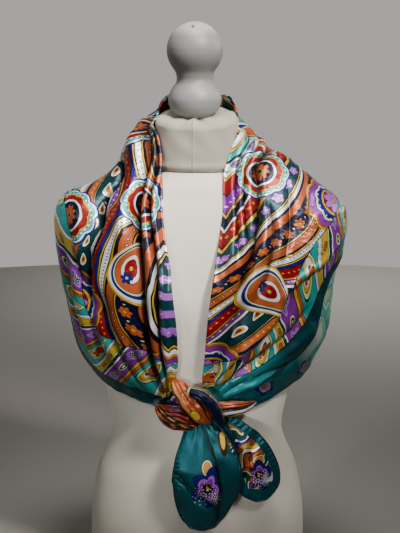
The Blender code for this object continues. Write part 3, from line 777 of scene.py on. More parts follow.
# rows of dots along the stripes: centre in the repeat, pitch and radius in millimetres, dye
dotRows = [
    (29, 10, 1.9, "brown"), (29, 10, 0.8, "white"), (64, 8, 1.3, "gold"), (44, 6, 1.1, "navy"),
    (78.5, 9, 1.2, "mint"), (122, 9, 1.5, "gold"), (234, 11, 2.1, "gold"), (234, 11, 0.9, "brown"),
    (205, 7, 1.2, "white"),
]
brightRosette = (
    "gold 0, ink 0.10, navy 0.12, ink 0.46, white 0.475, ink 0.54, red 0.555, ink 0.70, gold 0.715, "
    "ink 0.76, turquoise 0.775, ink 0.87, white 0.885, royal 0.935, ink 0.985"
)
darkRosette = (
    "mint 0, ink 0.09, red 0.11, ink 0.40, gold 0.415, ink 0.48, royal 0.495, ink 0.62, white 0.635, "
    "ink 0.69, purple 0.705, ink 0.86, orange 0.875, gold 0.94, ink 0.985"
)
dropRings = (
    "gold 0, ink 0.07, red 0.09, ink 0.26, white 0.28, ink 0.40, orange 0.415, ink 0.66, mint 0.675, "
    "royal 0.72, ink 0.80, white 0.815, gold 0.91, ink 0.985"
)
strapStripes = (
    "ink 0, mint 0.010, ink 0.024, gold 0.032, ink 0.135, mint 0.143, ink 0.155, white 0.163, ink 0.20, "
    "turquoise 0.208, ink 0.57, orange 0.578, ink 0.615, gold 0.623, ink 0.66, purple 0.668, ink 0.92, "
    "white 0.928, ink 0.955, teal 0.963"
)
innerBands = "gold 7, white 6, brown 2.5, orange 5, mint 3, teal 6, white 4, royal 3, purple 4.5, gold 3"
flowerRings = "gold 0, ink 0.10, purple 0.30, lilac 0.48, ink 0.62, royal 0.66, ink 0.94"


def motifCell(u, v):
    # a jittered net: each cell's random colour, the place from its point, and the distance to its border
    x, y = u + 0.047, v - 0.015
    spot = joined(x, y)
    inputs = {"Vector": spot, "Scale": 1 / printValues["motifSpacing"], "Randomness": 0.5}
    flat = {"voronoi_dimensions": "2D"}
    _, tints, point = spot.node("ShaderNodeTexVoronoi", {**flat, "feature": "F1"}, inputs).outputs()[:3]
    seam = spot.node("ShaderNodeTexVoronoi", {**flat, "feature": "DISTANCE_TO_EDGE"}, inputs)
    px, py = split(point)[:2]
    return tints, x - px, y - py, seam


def silkField(u, v):
    # flowing stripes: a slanting coordinate bent by sines and noise, then looked up in the stripes.
    # They bend round the large motifs by 0.028 * (1 - distance / 0.066)^2
    period = printValues["bandPeriod"]
    sway = (noise(joined(u, v), 5.0, 0.0) - 0.5) * 0.11
    _, mx, my, _ = motifCell(u, v)
    near = (1.0 - length2(mx, my) / 0.066).maths("MAXIMUM", 0.0)
    flow = u * 0.40 + u * u * 0.42 + v * 0.92 + (v * 15.0 - u * 9.0).maths("SINE") * 0.010 + sway + 0.07
    across = ((flow + near * near * 0.028) / period).maths("FRACT") * period
    side = u * 0.92 - v * 0.40 + (v * 17.0).maths("SINE") * 0.010 + sway * 0.5
    first, second, third = [banded(across * 10.0 - k, group, 1.3) for k, group in enumerate(bandGroups)]
    tint = mixed(across > 0.2, mixed(across > 0.1, first, second), third)
    for centre, pitch, size, name in dotRows:
        x, y = across - centre / 1000, tiled(side, pitch / 1000)
        tint = mixed(length2(x, y) < size / 1000, tint, dye[name])

    # small blossoms and leaves along the wide stripes
    x, y = across - 0.0105, tiled(side, 0.023)
    tint = ringed(tint, blossom(x, y, 0.0088, 6), "gold 0, ink 0.24, orange 0.30, ink 0.90")
    tint = mixed(length2(x, y - 0.0115) < 0.0016, tint, dye["mint"])
    leaf = teardrop(across - 0.1005, tiled(side, 0.032, 0.4), 0.0095, 0.0125, 18.0)
    tint = ringed(tint, leaf, "red 0, ink 0.30, gold 0.36, white 0.62, ink 0.86")
    leaf = teardrop(0.169 - across, tiled(side, 0.034, 0.1) * -1.0, 0.0078, 0.0140, -16.0)
    tint = ringed(tint, leaf, "gold 0, ink 0.22, purple 0.27, ink 0.66, turquoise 0.72, ink 0.90")
    petals = blossom(across - 0.263, tiled(side, 0.026, 0.7), 0.0085, 5)
    return ringed(tint, petals, "white 0, ink 0.20, lilac 0.26, ink 0.90")


def largeMotifs(u, v, tint):
    # one motif in each cell of the net: a rosette with petals, or a bent drop with outlines
    tints, mx, my, seam = motifCell(u, v)
    draw, kind = tints.node("ShaderNodeSeparateColor", inputs={0: tints}).outputs()[:2]
    small, large = printValues["motifRadius"]
    size = draw * (large - small) + small
    dark, bright = draw > 0.5, draw < 0.5

    angle = my.maths("ARCTAN2", mx)
    scallop = (angle * 4.5 + draw * 6.0).maths("SINE").maths("ABSOLUTE") * 0.09 + 0.93
    far = length2(mx, my) / size
    ring = far / mixedNumber(far > 0.60, 1.0, scallop)
    disc = mixed(dark, ramp(ring, dyed(brightRosette)), ramp(ring, dyed(darkRosette)))
    petals, otherPetals = blossom(mx, my, size * 0.43, 7), blossom(mx, my, size * 0.38, 9)
    disc = ringed(disc, petals, "gold 0, ink 0.22, lilac 0.27, ink 0.93", dark)
    disc = ringed(disc, otherPetals, "navy 0, gold 0.25, ink 0.33, orange 0.38, ink 0.92", bright)
    beads = dotRing(mx, my, 0.0290, 20, 0.0014) * dark + dotRing(mx, my, 0.0345, 28, 0.0015) * bright
    disc = mixed(beads, disc, dye["white"])

    # the bent drop is turned by a random angle
    lean = kind * 6.2832
    cosine, sine = lean.maths("COSINE"), lean.maths("SINE")
    x, y = mx * cosine + my * sine, my * cosine - mx * sine
    drop = teardrop(x, y, 0.046, 0.050, 8.0)
    flower = blossom(x + 0.003, y + 0.014, 0.0088, 6)
    inside = ringed(ramp(drop, dyed(dropRings)), flower, "gold 0, ink 0.26, royal 0.32, ink 0.92")

    asDrop = kind > 0.52
    shown = mixedNumber(asDrop, ring < 1.0, drop < 1.0)
    tint = mixed(shown, tint, mixed(asDrop, disc, inside))
    return mixed(shown * (seam < 0.012), tint, dye["ink"])


def strapPattern(s, d, wide):
    # by distance from the hem: a turquoise zone crossed by straps, with leaves, blossoms and discs
    pitch = printValues["strapPitch"]
    spot = joined(s, d)
    sway = (noise(spot, 8.0, 1.0) - 0.5) * 0.05
    cell = ((s + d * 0.8 + sway) / pitch).maths("FRACT")
    tint = ramp(cell, dyed(strapStripes))
    disc = length2((cell - 0.0835) * pitch, tiled(d, 0.024)) / 0.0046
    tint = ringed(tint, disc, "orange 0, ink 0.826")
    x, y = (cell - 0.385) * pitch, tiled(d, 0.066, 0.62)
    leaf = teardrop(x, y, 0.0245, 0.0275, 5.0)
    tint = ringed(tint, leaf, "white 0, gold 0.60, ink 0.74, mint 0.78, ink 0.93")
    tint = ringed(tint, blossom(y + 0.004, x, 0.0115, 5), "brown 0, orange 0.22, brown 0.82, ink 0.93")
    x, y = (cell - 0.795) * pitch, tiled(d, 0.050)
    tint = ringed(tint, blossom(x, y, 0.0140, 5), "gold 0, ink 0.12, royal 0.16, lilac 0.62, ink 0.94")
    tint = beaded(tint, x, y, ((0.0026, 7, 0.0006), (0.0048, 11, 0.0007), (0.0070, 15, 0.0007)))
    curl = length2(x, y.maths("ABSOLUTE") - 0.025) / 0.0075
    tint = ringed(tint, curl, "mint 0, ink 0.26, teal 0.34, ink 0.58, mint 0.66, ink 0.93")
    # the border's two teals, and a painted highlight that makes it bright turquoise from 0.755 m along the
    # hem on, towards the knot
    edge = mixed(noise(spot, 14.0, 2.0), colour(6, 66, 72), colour(2, 44, 50))
    paintedLitBorder = ((s - 0.755) / 0.05).clamped() * (d > 0.006)
    tint = mixed(d < wide, tint, mixed(paintedLitBorder, edge, colour(6, 140, 144)))
    return mixed((d > wide) * (d < wide + 0.0012), tint, dye["ink"])


def silkFinish(tree, tint, x, y, sunk=None, values=printValues["silk"]):
    # satin: painted shade darkens the colour in the deep folds, with fine ribs of weft, faint slubs and tiny
    # creases
    if sunk:
        tint = mixed(sunk * printValues["paintedTroughShade"], tint, dye["ink"])
    creases = noise(joined(x * 2.4, y), 70.0, 3.0, 0.55)
    weft = (y * 9000.0).maths("SINE")
    rough = values["Roughness"] + (noise(joined(x, y), 22.0, 2.0) - 0.5) * 0.10
    satin(tree, tint, rough, (creases + weft * 0.02, 0.0006), values)


def borderWidth(s):
    # straight lines between the (place, width) pairs
    stops = [((place + 0.8) / 1.6, (width / 0.1,) * 3 + (1,)) for place, width in printValues["borders"]]
    return split(ramp((s + 0.8) / 1.6, stops, "LINEAR"))[0] * 0.1


def silkPrint(name):
    # ridge is metres beyond the turned edge, where the field shows as far as the hem
    made, tree = newMaterial(name)
    (u, v), (s, d), (ridge, sunk) = [uvPair(tree, title) for title in ("flat", "hem", "turned")]
    field = largeMotifs(u, v, silkField(u, v))
    reach = mixedNumber(ridge > -0.9, printValues["strapZone"], printValues["turnedZone"])
    outside = (ridge > 0.0005).maths("MAXIMUM", d < reach)
    tint = mixed(outside, field, strapPattern(s, d, borderWidth(s)))
    line = (d > reach) * (d < reach + 0.0014) * (ridge < 0.0005)
    tint = mixed(line, tint, dye["ink"])
    # painted shadow: the cloth just beyond the turned edge is darkened, darkest in a thin line next to it
    shade = (1.0 - ridge / 0.010).maths("MAXIMUM", 0.0) * (ridge > 0.0005) * (0.45 + (ridge < 0.0022) * 0.4)
    silkFinish(tree, mixed(shade, tint, dye["ink"]), u, v, sunk)
    return made


def stripedSilk(name, stripes, slant, wander, patches=()):
    # stripes that follow a turn of the knot; a patch is (along, around, long, wide, dye) in metres
    made, tree = newMaterial(name)
    along, around = uvPair(tree, "flat")
    sway = (noise(joined(along, around), 30.0, 1.0) - 0.5) * wander
    place = ((around + along * slant + sway) / printValues["knotGirth"]).maths("FRACT")
    tint = banded(place, stripes, 0.8)
    for start, height, long, wide, patch in patches:
        spot = length2((along - start) / long, (around - height) / wide) + sway * 40.0
        tint = ringed(tint, spot, f"{patch} 0, ink 0.84")
    silkFinish(tree, tint, along, around, uvPair(tree, "turned")[1])
    return made


def scrollPrint(x, y):
    # small curling stripes with dots, as on the inner side of the border
    bend = (noise(joined(x, y), 34.0, 1.0) - 0.5) * 0.050
    tint = banded(((x * 0.8 + y * 0.7 + bend) / 0.044).maths("FRACT"), innerBands, 0.8)
    return ringed(tint, length2(tiled(x, 0.021), tiled(y, 0.026)) / 0.0046, "orange 0, ink 0.783")


def tailSilk(name, flowers, leaves, panel=None, strip=None):
    # the dark border, blossoms with rings of dots, and where the inner print shows: panel is (left,
    # right, top, bottom, distance from the edge), strip is the same from the overlapping fold
    made, tree = newMaterial(name)
    (x, y), (edge, aside) = uvPair(tree, "flat"), uvPair(tree, "hem")
    spot = joined(x, y)
    wander = (noise(spot, 45.0, 1.0) - 0.5) * 0.012
    tint = mixed(noise(spot, 16.0, 2.0), colour(4, 60, 68), colour(10, 90, 98))
    for limits, side in ((panel, x), (strip, aside)):
        if limits:
            low, high, top, bottom, rim = limits
            between = (side + wander > low) * (side + wander < high)
            inside = between * (y > top) * (y + wander < bottom) * (edge > rim)
            tint = mixed(inside, tint, scrollPrint(x, y))
    for cx, cy, wide, long, leaf, edging in leaves:
        share = length2((x - cx) / wide, (y - cy) / long) + wander * 18.0
        tint = ringed(tint, share, f"{leaf} 0, ink 0.62, {edging} 0.68, ink 0.90")
    for cx, cy, radius, petals, side in flowers:
        px, py = x - cx + wander * 0.5, (y - cy) * 0.82 - wander * 0.4
        keep = (aside * side) < 0.0
        tint = ringed(tint, blossom(px, py, radius, petals), flowerRings, keep)
        for dx, dy, size in ((-0.16, 0.30, 0.60), (0.46, 0.36, 0.36)):
            bx, by = px - radius * dx + wander * 0.2, py - radius * dy
            for share, count in ((0.20, 6), (0.46, 9), (0.72, 12), (1.0, 13)):
                dots = dotRing(bx, by, radius * size * share, count, 0.00055 + 0.0003 * (1 - share))
                tint = mixed(dots * keep, tint, dye["white"])
    silkFinish(tree, tint, x, y, uvPair(tree, "turned")[1], printValues["tailSilk"])
    return made


def underSilk(name):
    # the lower layer: turquoise and cream washes, dark towards the hem, with parts of blossoms
    made, tree = newMaterial(name)
    s, d = uvPair(tree, "hem")
    wash = noise(joined(s + d * 0.8, d * 2.0), 16.0, 1.0)
    pale = "mint 0, turquoise 0.40, white 0.47, turquoise 0.52, mint 0.60, white 0.65"
    tint = mixed(0.25, ramp(wash, dyed(pale), "EASE"), colour(90, 190, 178))
    dark = ((s - printValues["lowerLayerDark"]) / 0.05).clamped()
    tint = mixed(dark, tint, mixed(wash, colour(2, 66, 74), colour(2, 112, 116)))
    x, y = tiled(s, 0.070, 0.35), d - 0.026
    tint = ringed(tint, blossom(x, y, 0.017, 5), flowerRings, dark)
    tint = beaded(tint, x, y, ((0.0032, 7, 0.0007), (0.0060, 12, 0.0008), (0.0090, 16, 0.0008)), dark)
    tint = mixed((d < 0.004) * 0.8, tint, dye["teal"])
    silkFinish(tree, tint, s, d, values=printValues["tailSilk"])
    return made


def plainSilk(name, tint):
    made, tree = newMaterial(name)
    where = objectPlace(tree)
    shade = mixed(noise(where, 160.0, 2.0, flat=False), tint, tuple(c * 0.6 for c in tint[:3]) + (1,))
    satin(tree, shade, 0.34, (noise(where, 900.0, 2.0, flat=False), 0.0002), printValues["silk"])
    return made


print("tables and silks ready")


# the scarf

def drapeWays():
    v = drapeValues
    back = np.linspace(-v["shoulder"], v["shoulder"], v["backRows"] + 1)
    front = np.linspace(v["shoulder"], v["reach"], v["frontRows"] + 1)
    return np.concatenate([-front[::-1], back[1:-1], front])


def flattened(surface):
    # lays the grid flat: links along, across and from corner to corner are pulled to their real
    # lengths again and again, on a coarse net first and then on finer ones
    rows, columns = surface.shape[:2]
    along, down = arcLengths(surface, 0), arcLengths(surface, 1)
    flat = np.stack([along - along[rows // 2], down], axis=-1)
    corners = (np.s_[:-1, :-1], np.s_[1:, 1:]), (np.s_[:-1, 1:], np.s_[1:, :-1])
    for step, rounds in ((16, 900), (8, 500), (4, 300)):
        i = np.unique(np.append(np.arange(0, rows, step), rows - 1))
        j = np.unique(np.append(np.arange(0, columns, step), columns - 1))
        pick = np.ix_(i, j)
        points, net = surface[pick], flat[pick]
        links = [
            (np.s_[:-1, :], np.s_[1:, :], np.diff(along[pick], axis=0)),
            (np.s_[:, :-1], np.s_[:, 1:], np.diff(down[pick], axis=1)),
        ]
        links += [(a, b, np.linalg.norm(points[b] - points[a], axis=-1)) for a, b in corners]
        for _ in range(rounds):
            push, count = np.zeros_like(net), np.zeros(net.shape[:2])
            for a, b, real in links:
                gap = net[b] - net[a]
                long = np.linalg.norm(gap, axis=-1) + 1e-9
                pull = gap * ((1 - real / long) / 2)[..., None]
                push[a] += pull
                push[b] -= pull
                count[a] += 1
                count[b] += 1
            net = net + 1.4 * push / count[..., None]
        flat = refined(net, i, j, rows, columns)
    return flat


def refined(net, i, j, rows, columns):
    # the coarse net's values at every row and column, joined by smooth curves
    tall = [np.stack([smooth(i, values, np.arange(rows)) for values in side], axis=1) for side in net.T]
    full = [np.stack([smooth(j, values, np.arange(columns)) for values in side]) for side in tall]
    return np.stack(full, axis=-1)


def fromHem(flat):
    # metres along the hem to its nearest point, and metres to that point
    hem = flat[:, -1]
    along = np.concatenate([[0], np.cumsum(np.linalg.norm(np.diff(hem, axis=0), axis=-1))])
    along = along - along[len(hem) // 2]
    tangent = unit(np.gradient(hem, axis=0))
    nearest, distance = np.empty(flat.shape[:2]), np.empty(flat.shape[:2])
    for k in range(flat.shape[1]):
        gaps = np.linalg.norm(flat[:, None, k] - hem[None], axis=-1)
        closest = gaps.argmin(axis=1)
        nearest[:, k] = along[closest] + ((flat[:, k] - hem[closest]) * tangent[closest]).sum(-1)
        distance[:, k] = gaps.min(axis=1)
    return np.stack([nearest, distance], axis=-1)


def flatMaps(surface, turned):
    # flat metres along and across the cloth, metres along and from the hem, and from the turned edge
    flat = flattened(surface)
    return [("flat", flat), ("hem", fromHem(flat)), ("turned", turned)]


def curledEdge(surface, columns):
    # the neck fold: the edge goes on round a half circle that turns in towards the form
    radius = drapeValues["curl"]
    normal = gridNormals(surface)[:, 0]
    back = -unit(surface[:, 1] - surface[:, 0])
    angles = np.linspace(math.pi, 0, columns, endpoint=False)
    turns = [back * math.sin(a) - normal * (1 - math.cos(a)) for a in angles]
    return np.concatenate([surface[:, :1] + radius * np.stack(turns, axis=1), surface], axis=1)


def hemReach(way):
    trimmed = smooth(drapeValues["trimWays"], drapeValues["trim"], way)
    return 1 - np.where(way > 0, trimmed, 0)


def lowerEdge(surface):
    # the middle of the cloth's thickness along the hem, and the way out
    outward = gridNormals(surface)[:, -1]
    return surface[:, -1] - outward * drapeValues["layer"] / 2, outward


def buildDrape(surfaceSilk, hemSilk):
    ways = drapeWays()
    acrosses = np.linspace(0, 1, drapeValues["columns"] + 1) ** 1.3 * hemReach(ways)[:, None]
    surface, turned = scarfSurface(ways, acrosses)
    curl = 4
    layers = [
        (title, np.concatenate([np.repeat(values[:, :1], curl, axis=1), values], axis=1))
        for title, values in flatMaps(surface, turned)
    ]
    drape = shell("silkDrape", curledEdge(surface, curl), surfaceSilk, layers)
    dress(drape, "silk", "left_front", "back_drape", "right_front")
    edge, outward = lowerEdge(surface)
    pucker = 1 + 0.10 * np.sin(arcLengths(edge, 0) * 2 * math.pi / 0.006)
    return drape, rolledHem("rolledHemDrape", edge, outward, hemSilk, pucker)


underValues = {
    "ways": (0.37, 0.42, 0.50, 0.60, 0.70, 0.80, 0.88, 0.94, 0.97),
    "beyond": (0.01, 0.07, 0.14, 0.21, 0.27, 0.33, 0.37, 0.35, 0.25),  # how far it shows below the front
    "ends": (0.372, 0.966),
    "drop": 0.0022,
    "folds": 0.0012,
}


def buildUnderLayer(surfaceSilk, hemSilk):
    v = underValues
    ways = np.linspace(*v["ends"], 110)
    beyond = smooth(v["ways"], v["beyond"], ways)[:, None]
    reach = hemReach(ways)[:, None]
    tucked = reach * np.linspace(0.84, 1.0, 10)
    shown = reach + (1 + beyond - reach) * np.linspace(0, 1, 27)[1:]
    surface, turned = scarfSurface(ways, np.concatenate([tucked, shown], axis=1))
    waves = np.sin(np.linspace(0, 9 * math.pi, len(ways)) ** 1.02)[:, None] * np.linspace(0, 1, 36) ** 2
    surface = clearOfForm(surface - gridNormals(surface) * (v["drop"] - v["folds"] * waves)[..., None])
    under = shell("silkUnderLayer", surface, surfaceSilk, flatMaps(surface, turned * 0 - [1, 0]))
    dress(under, "silk", "under_layer")
    return under, rolledHem("rolledHemUnder", *lowerEdge(surface), hemSilk)


# the knot: each turn is a rounded bundle along a middle line of (x, y, z, half width, half depth) in
# millimetres. A crease is (angle at the turn's start and at its end in degrees, 90 faces out, depth
# share, width in degrees)
knotTurns = {
    "knotWrap": {  # the turn over the front of the knot
        "node": "knot_wrap",
        "spine": [
            (-2, -137, 357, 2, 3), (4, -141, 356, 6.6, 7), (13, -143, 355, 7.6, 10), (22, -143, 351, 8.4, 12),
            (30, -141, 343, 8.6, 13), (37, -139, 333, 8.4, 13), (42, -137, 321, 7, 11),
            (46, -134, 310, 4.6, 8), (49, -131, 300, 1, 3),
        ],
        "creases": [(60, 84, 0.10, 10), (140, 128, 0.06, 9)],
    },
    "knotBand": {  # the left front's end, going under the wrap
        "node": "knot_band",
        "spine": [
            (-22, -120, 365, 5, 5), (-15, -125, 357, 11, 9), (-6, -129, 348, 13.5, 12),
            (3, -131, 338, 15, 13), (12, -131, 328, 15, 13), (21, -129, 317, 12.5, 11), (29, -126, 309, 6, 7),
        ],
        "creases": [(20, 40, 0.05, 12), (120, 76, 0.10, 8), (152, 150, 0.07, 11)],
    },
    "knotRoll": {  # the ribbed turn at the lower left
        "node": "knot_roll",
        "spine": [
            (-48, -119, 328, 3, 3), (-40, -123, 322, 10, 8), (-29, -127, 316.5, 16, 11),
            (-16, -128, 314, 19.5, 13), (-2, -126, 308, 15, 12), (12, -123, 303, 8, 9),
        ],
        "creases": [(14, 60, 0.20, 9), (42, 88, 0.24, 9), (72, 112, 0.18, 8), (98, 140, 0.24, 9),
                    (128, 166, 0.18, 8), (158, 190, 0.2, 9)],
    },
    "knotLoop": {  # the pointed loop at the right
        "node": "knot_loop",
        "spine": [
            (93, -103, 331, 2, 2), (79, -112, 327, 8, 6), (63, -120, 326, 11, 8), (48, -124, 326, 11, 9),
            (32, -125, 325, 9, 9),
        ],
        "creases": [(40, 40, 0.16, 11), (84, 76, 0.22, 9), (124, 128, 0.16, 10), (158, 164, 0.12, 8)],
    },
}


def spineFrame(spine, count):
    columns = np.array(spine).T / 1000
    known, at = np.linspace(0, 1, len(spine)), np.linspace(0, 1, count)
    x, y, z, halfWidth, halfDepth = [smooth(known, values, at) for values in columns]
    middle = np.stack([x, y, z], axis=-1)
    along = unit(np.gradient(middle, axis=0))
    facing = unit(middle * [0.35, 1, 0])
    wide = unit(np.cross(along, facing))
    return middle, wide[:, None], np.cross(wide, along)[:, None], halfWidth[:, None], halfDepth[:, None]


def buildKnotTurn(name, silk):
    # an oval tube, sunk along its creases: 1 - sum of depth * exp(-|angle from the crease / width|^1.4)
    rows, columns = 140, 150
    middle, wide, outward, halfWidth, halfDepth = spineFrame(knotTurns[name]["spine"], rows)
    angle = np.linspace(0, 360, columns, endpoint=False)
    t = np.linspace(0, 1, rows)[:, None]
    sunk = np.zeros((rows, columns))
    for k, (start, end, depth, width) in enumerate(knotTurns[name]["creases"]):
        place = start + (end - start) * t + 5 * np.sin(7 * t + 2.1 * k)
        aside = np.abs((angle - place + 180) % 360 - 180) / width
        strength = 0.75 + 0.25 * np.sin(9 * t + 1.7 * k)
        sunk = sunk + depth * strength * np.exp(-(aside**1.4))
    corner = np.radians(angle)
    x, y = corner * 0.012, arcLengths(middle, 0)[:, None]
    share = 1.0 - sunk + wrinkles(x * 2, y, 11, 0.030, 0.012, 8, 0.035)
    share = share * (np.abs(np.cos(corner)) ** 2.5 + np.abs(np.sin(corner)) ** 2.5) ** (-1 / 2.5)
    rings = (
        middle[:, None]
        + wide * (np.cos(corner) * share * halfWidth)[..., None]
        + outward * (np.sin(corner) * share * halfDepth)[..., None]
    )
    flat = np.stack([y + 0 * x, x + 0 * y], axis=-1)
    # the second value is how strongly painted shade darkens the silk along the creases
    creased = np.stack([-1.0 + 0 * sunk, np.clip(sunk / 0.16, 0, 1)], axis=-1)
    made = tube(name, rings, silk, [("flat", flat), ("turned", creased)])
    return dress(made, "silk", knotTurns[name]["node"])


# A tail's line is the overlapping fold in percent: ways down the tail and places across it, positive to
# the right. Step is how far the part on its right stands out, up to the share "ends". A roll is (on the
# left or right of that line, slope of its crest, and in millimetres where the crest meets the middle,
# the distances from it and the rises there)
tails = {
    "tailFront": {
        "node": "tail_front",
        "hem": "rolledHemTailFront",
        "spine": [
            (16, -127, 312, 18, 4), (20, -130, 288, 30, 6), (24, -134, 262, 42, 8), (26, -136, 240, 47, 9),
            (25, -136, 219, 48, 9), (21, -136, 197, 42, 8), (17, -135, 174, 34, 6), (14, -133, 159, 25, 5),
            (12, -132, 149, 12, 3),
        ],
        "line": ((0, 9, 26, 43, 56, 69, 85, 100), (10, 24, 30, 40, 52, 70, 100, 140)),
        "step": 0.0050,
        "ends": 0.64,
        "crown": 0.70,
        "seed": 3,
        "rolls": (
            (-1, 0.80, 101, (-100, -50, -4, 4, 17, 28, 36, 60, 120), (0, 5, 10.5, 10, 1.5, 5.2, 5, 0.5, -2)),
            (1, 0.50, 50, (-50, -16, 0, 12, 50, 110), (0, 4.5, 8.5, 6, 0.5, -2)),
        ),
        "pucker": 0.0008,
        "puckerSide": -1,
    },
    "tailSide": {
        "node": "tail_side",
        "hem": "rolledHemTailSide",
        "spine": [
            (42, -119, 320, 6, 2), (52, -116, 306, 11, 3), (65, -112, 290, 18, 4), (79, -108, 268, 26, 6),
            (90, -106, 244, 31, 7), (97, -105, 222, 33, 7), (101, -105, 203, 30, 5), (103, -105, 191, 20, 4),
            (104, -105, 184, 10, 3),
        ],
        "line": ((0, 30, 60, 85, 100), (-10, -30, -25, -90, -140)),
        "step": -0.0026,
        "ends": 0.8,
        "crown": 0.8,
        "seed": 5,
        "rolls": ((1, -0.60, 64, (-60, -20, 0, 14, 28, 40, 90), (0, 4, 6.5, 1, 4, 2, -1)),),
        "pucker": 0.0006,
        "puckerSide": 1,
    },
}


def buildTail(name, silk, hemSilk):
    # crowned across and stepped along the overlapping fold, with soft rolls beside it that sway
    shape = tails[name]
    rows, columns = 160, 120
    middle, wide, outward, halfWidth, halfDepth = spineFrame(shape["spine"], rows + 1)
    t = np.linspace(0, 1, rows + 1)[:, None]
    across = np.linspace(-1, 1, columns + 1)[None]
    x, y = across * halfWidth, arcLengths(middle, 0)[:, None] + 0 * across
    aside = (across - smooth(*np.array(shape["line"]) / 100, t)) * halfWidth
    fade = softStep(t / 0.14)
    lift = halfDepth * (shape["crown"] * (1 - across**2) - 8 * np.clip(np.abs(across) - 0.82, 0, 1) ** 2)
    overlap = shape["step"] * (1 - softStep((t - shape["ends"]) / 0.25))
    lift = lift + fade * overlap * (softStep(aside / 0.0014 + 0.5) - 0.5) * np.exp(-np.abs(aside) / 0.022)
    for side, slope, meets, distances, rises in shape["rolls"]:
        beyond = y - meets / 1000 - slope * x + 0.004 * np.sin(x * 95)
        crest = smooth(np.array(distances) / 1000, np.array(rises) / 1000, beyond)
        lift = lift + crest * softStep(aside * side / 0.006 + 0.5) * softStep(y / 0.03)
    lift = lift + fade * wrinkles(x, y, shape["seed"], 0.07, 0.03, 7, 0.0007)
    pleats = np.cos(np.arctan2(x, y + 0.012) * 22 + 0.5) * np.exp(-y / 0.022)
    lift = lift + pleats * 0.0014 * softStep(t / 0.03)
    sideEdge = (1 - across * shape["puckerSide"]) * halfWidth
    puckers = np.sin(y * 2 * math.pi / 0.0066 + 1.5 * np.sin(y * 90))
    lift = lift + fade * shape["pucker"] * puckers * bell(sideEdge - 0.004, 0.0045)
    surface = middle[:, None] - wide * x[..., None] + outward * lift[..., None]
    nearEdge = np.minimum((1 - np.abs(across)) * halfWidth, (1 - t) * y[-1, 0] + 0 * x)
    # painted shadow under the overlapping fold, and painted shade in the pleats' troughs near the top: the
    # silk darkens its colour by this
    under = bell(aside + 0.0022, 0.0026) * fade * np.maximum(overlap, 0) / 0.005
    sunk = np.clip(under + 0.5 * np.clip(-pleats, 0, 1), 0, 1)
    pairs = {"flat": (x, y), "hem": (nearEdge, aside), "turned": (x * 0 - 1, sunk)}
    layers = [(title, np.stack(pair, axis=-1)) for title, pair in pairs.items()]
    made = dress(shell(name, surface, silk, layers), "silk_border", shape["node"])
    rim = [np.concatenate([g[:, 0], g[-1, 1:-1], g[::-1, -1]]) for g in (surface, gridNormals(surface))]
    return made, rolledHem(shape["hem"], *rim, hemSilk)


# the dress form

def jerseyCover():
    # fine knit: rows of tiny loops, faint lint, a darker neck block, and its two seams
    neck = formValues["height"]
    made, tree = newMaterial("matt jersey")
    where = objectPlace(tree)
    x, y, z = split(where)
    grain = noise(where, 900.0, 2.0, flat=False)
    tint = mixed(noise(where, 9.0, 3.0, flat=False), colour(226, 218, 202), colour(212, 203, 187))
    tint = mixed(grain * 0.18, tint, colour(190, 180, 164))
    tint = mixed((z > neck) * 0.85, tint, colour(146, 138, 123))
    front = (x + 0.002).maths("ABSOLUTE")
    foot = (z - neck - (y + 0.057) * 0.01).maths("ABSOLUTE")
    line = ((front < 0.00045) * (y < 0.0) * (z > neck)).maths("MAXIMUM", foot < 0.0007)
    tint = mixed(line * 0.65, tint, colour(70, 60, 50))
    height = grain * 0.7 + (z * 5200.0).maths("SINE") * 0.06
    nap = {"Specular IOR Level": 0.25, "Sheen Weight": 0.25, "Sheen Roughness": 0.6}
    satin(tree, tint, 0.86 + (grain - 0.5) * 0.1, (height, 0.0004), nap)
    return made


def whitePaint():
    # gloss paint on turned wood: brush marks, a lighter, warmer top that is a painted highlight, and a chip
    # and dents on the front
    made, tree = newMaterial("white gloss paint")
    where = objectPlace(tree)
    across, deep, up = split(where)
    cloud = noise(where, 26.0, 3.0, flat=False)
    specks = noise(where, 190.0, 4.0, 0.7, flat=False)
    ragged = (noise(where, 420.0, 2.0, flat=False) - 0.5) * 0.002
    tint = mixed(cloud, colour(140, 139, 137), colour(126, 125, 122))
    tint = mixed((specks > 0.70) * 0.5, tint, colour(170, 160, 150))
    # painted highlight: the top of the ball is made lighter and warmer
    top = ((up - 0.842) / 0.014).clamped()
    tint = mixed(top * (0.55 + specks * 0.4), tint, colour(198, 192, 178))
    front = deep < 0
    chip = length2(across + 0.0034, (up - 0.8553) * 1.3) + ragged
    tint = mixed((chip < 0.0024) * front * 0.85, tint, colour(40, 38, 34))
    dents, places = 0, ((0.0024, 0.8252, 0.0030), (-0.0120, 0.8362, 0.0026), (-0.0060, 0.8390, 0.0022))
    for wide, high, size in places:
        dents = (length2(across - wide, (up - high) * 1.6) + ragged < size) * front * 0.5 + dents
    rough = 0.46 + (cloud - 0.5) * 0.16
    satin(tree, tint, rough, (cloud + specks * 0.15 - dents, 0.0008), {"Specular IOR Level": 0.5})
    return made


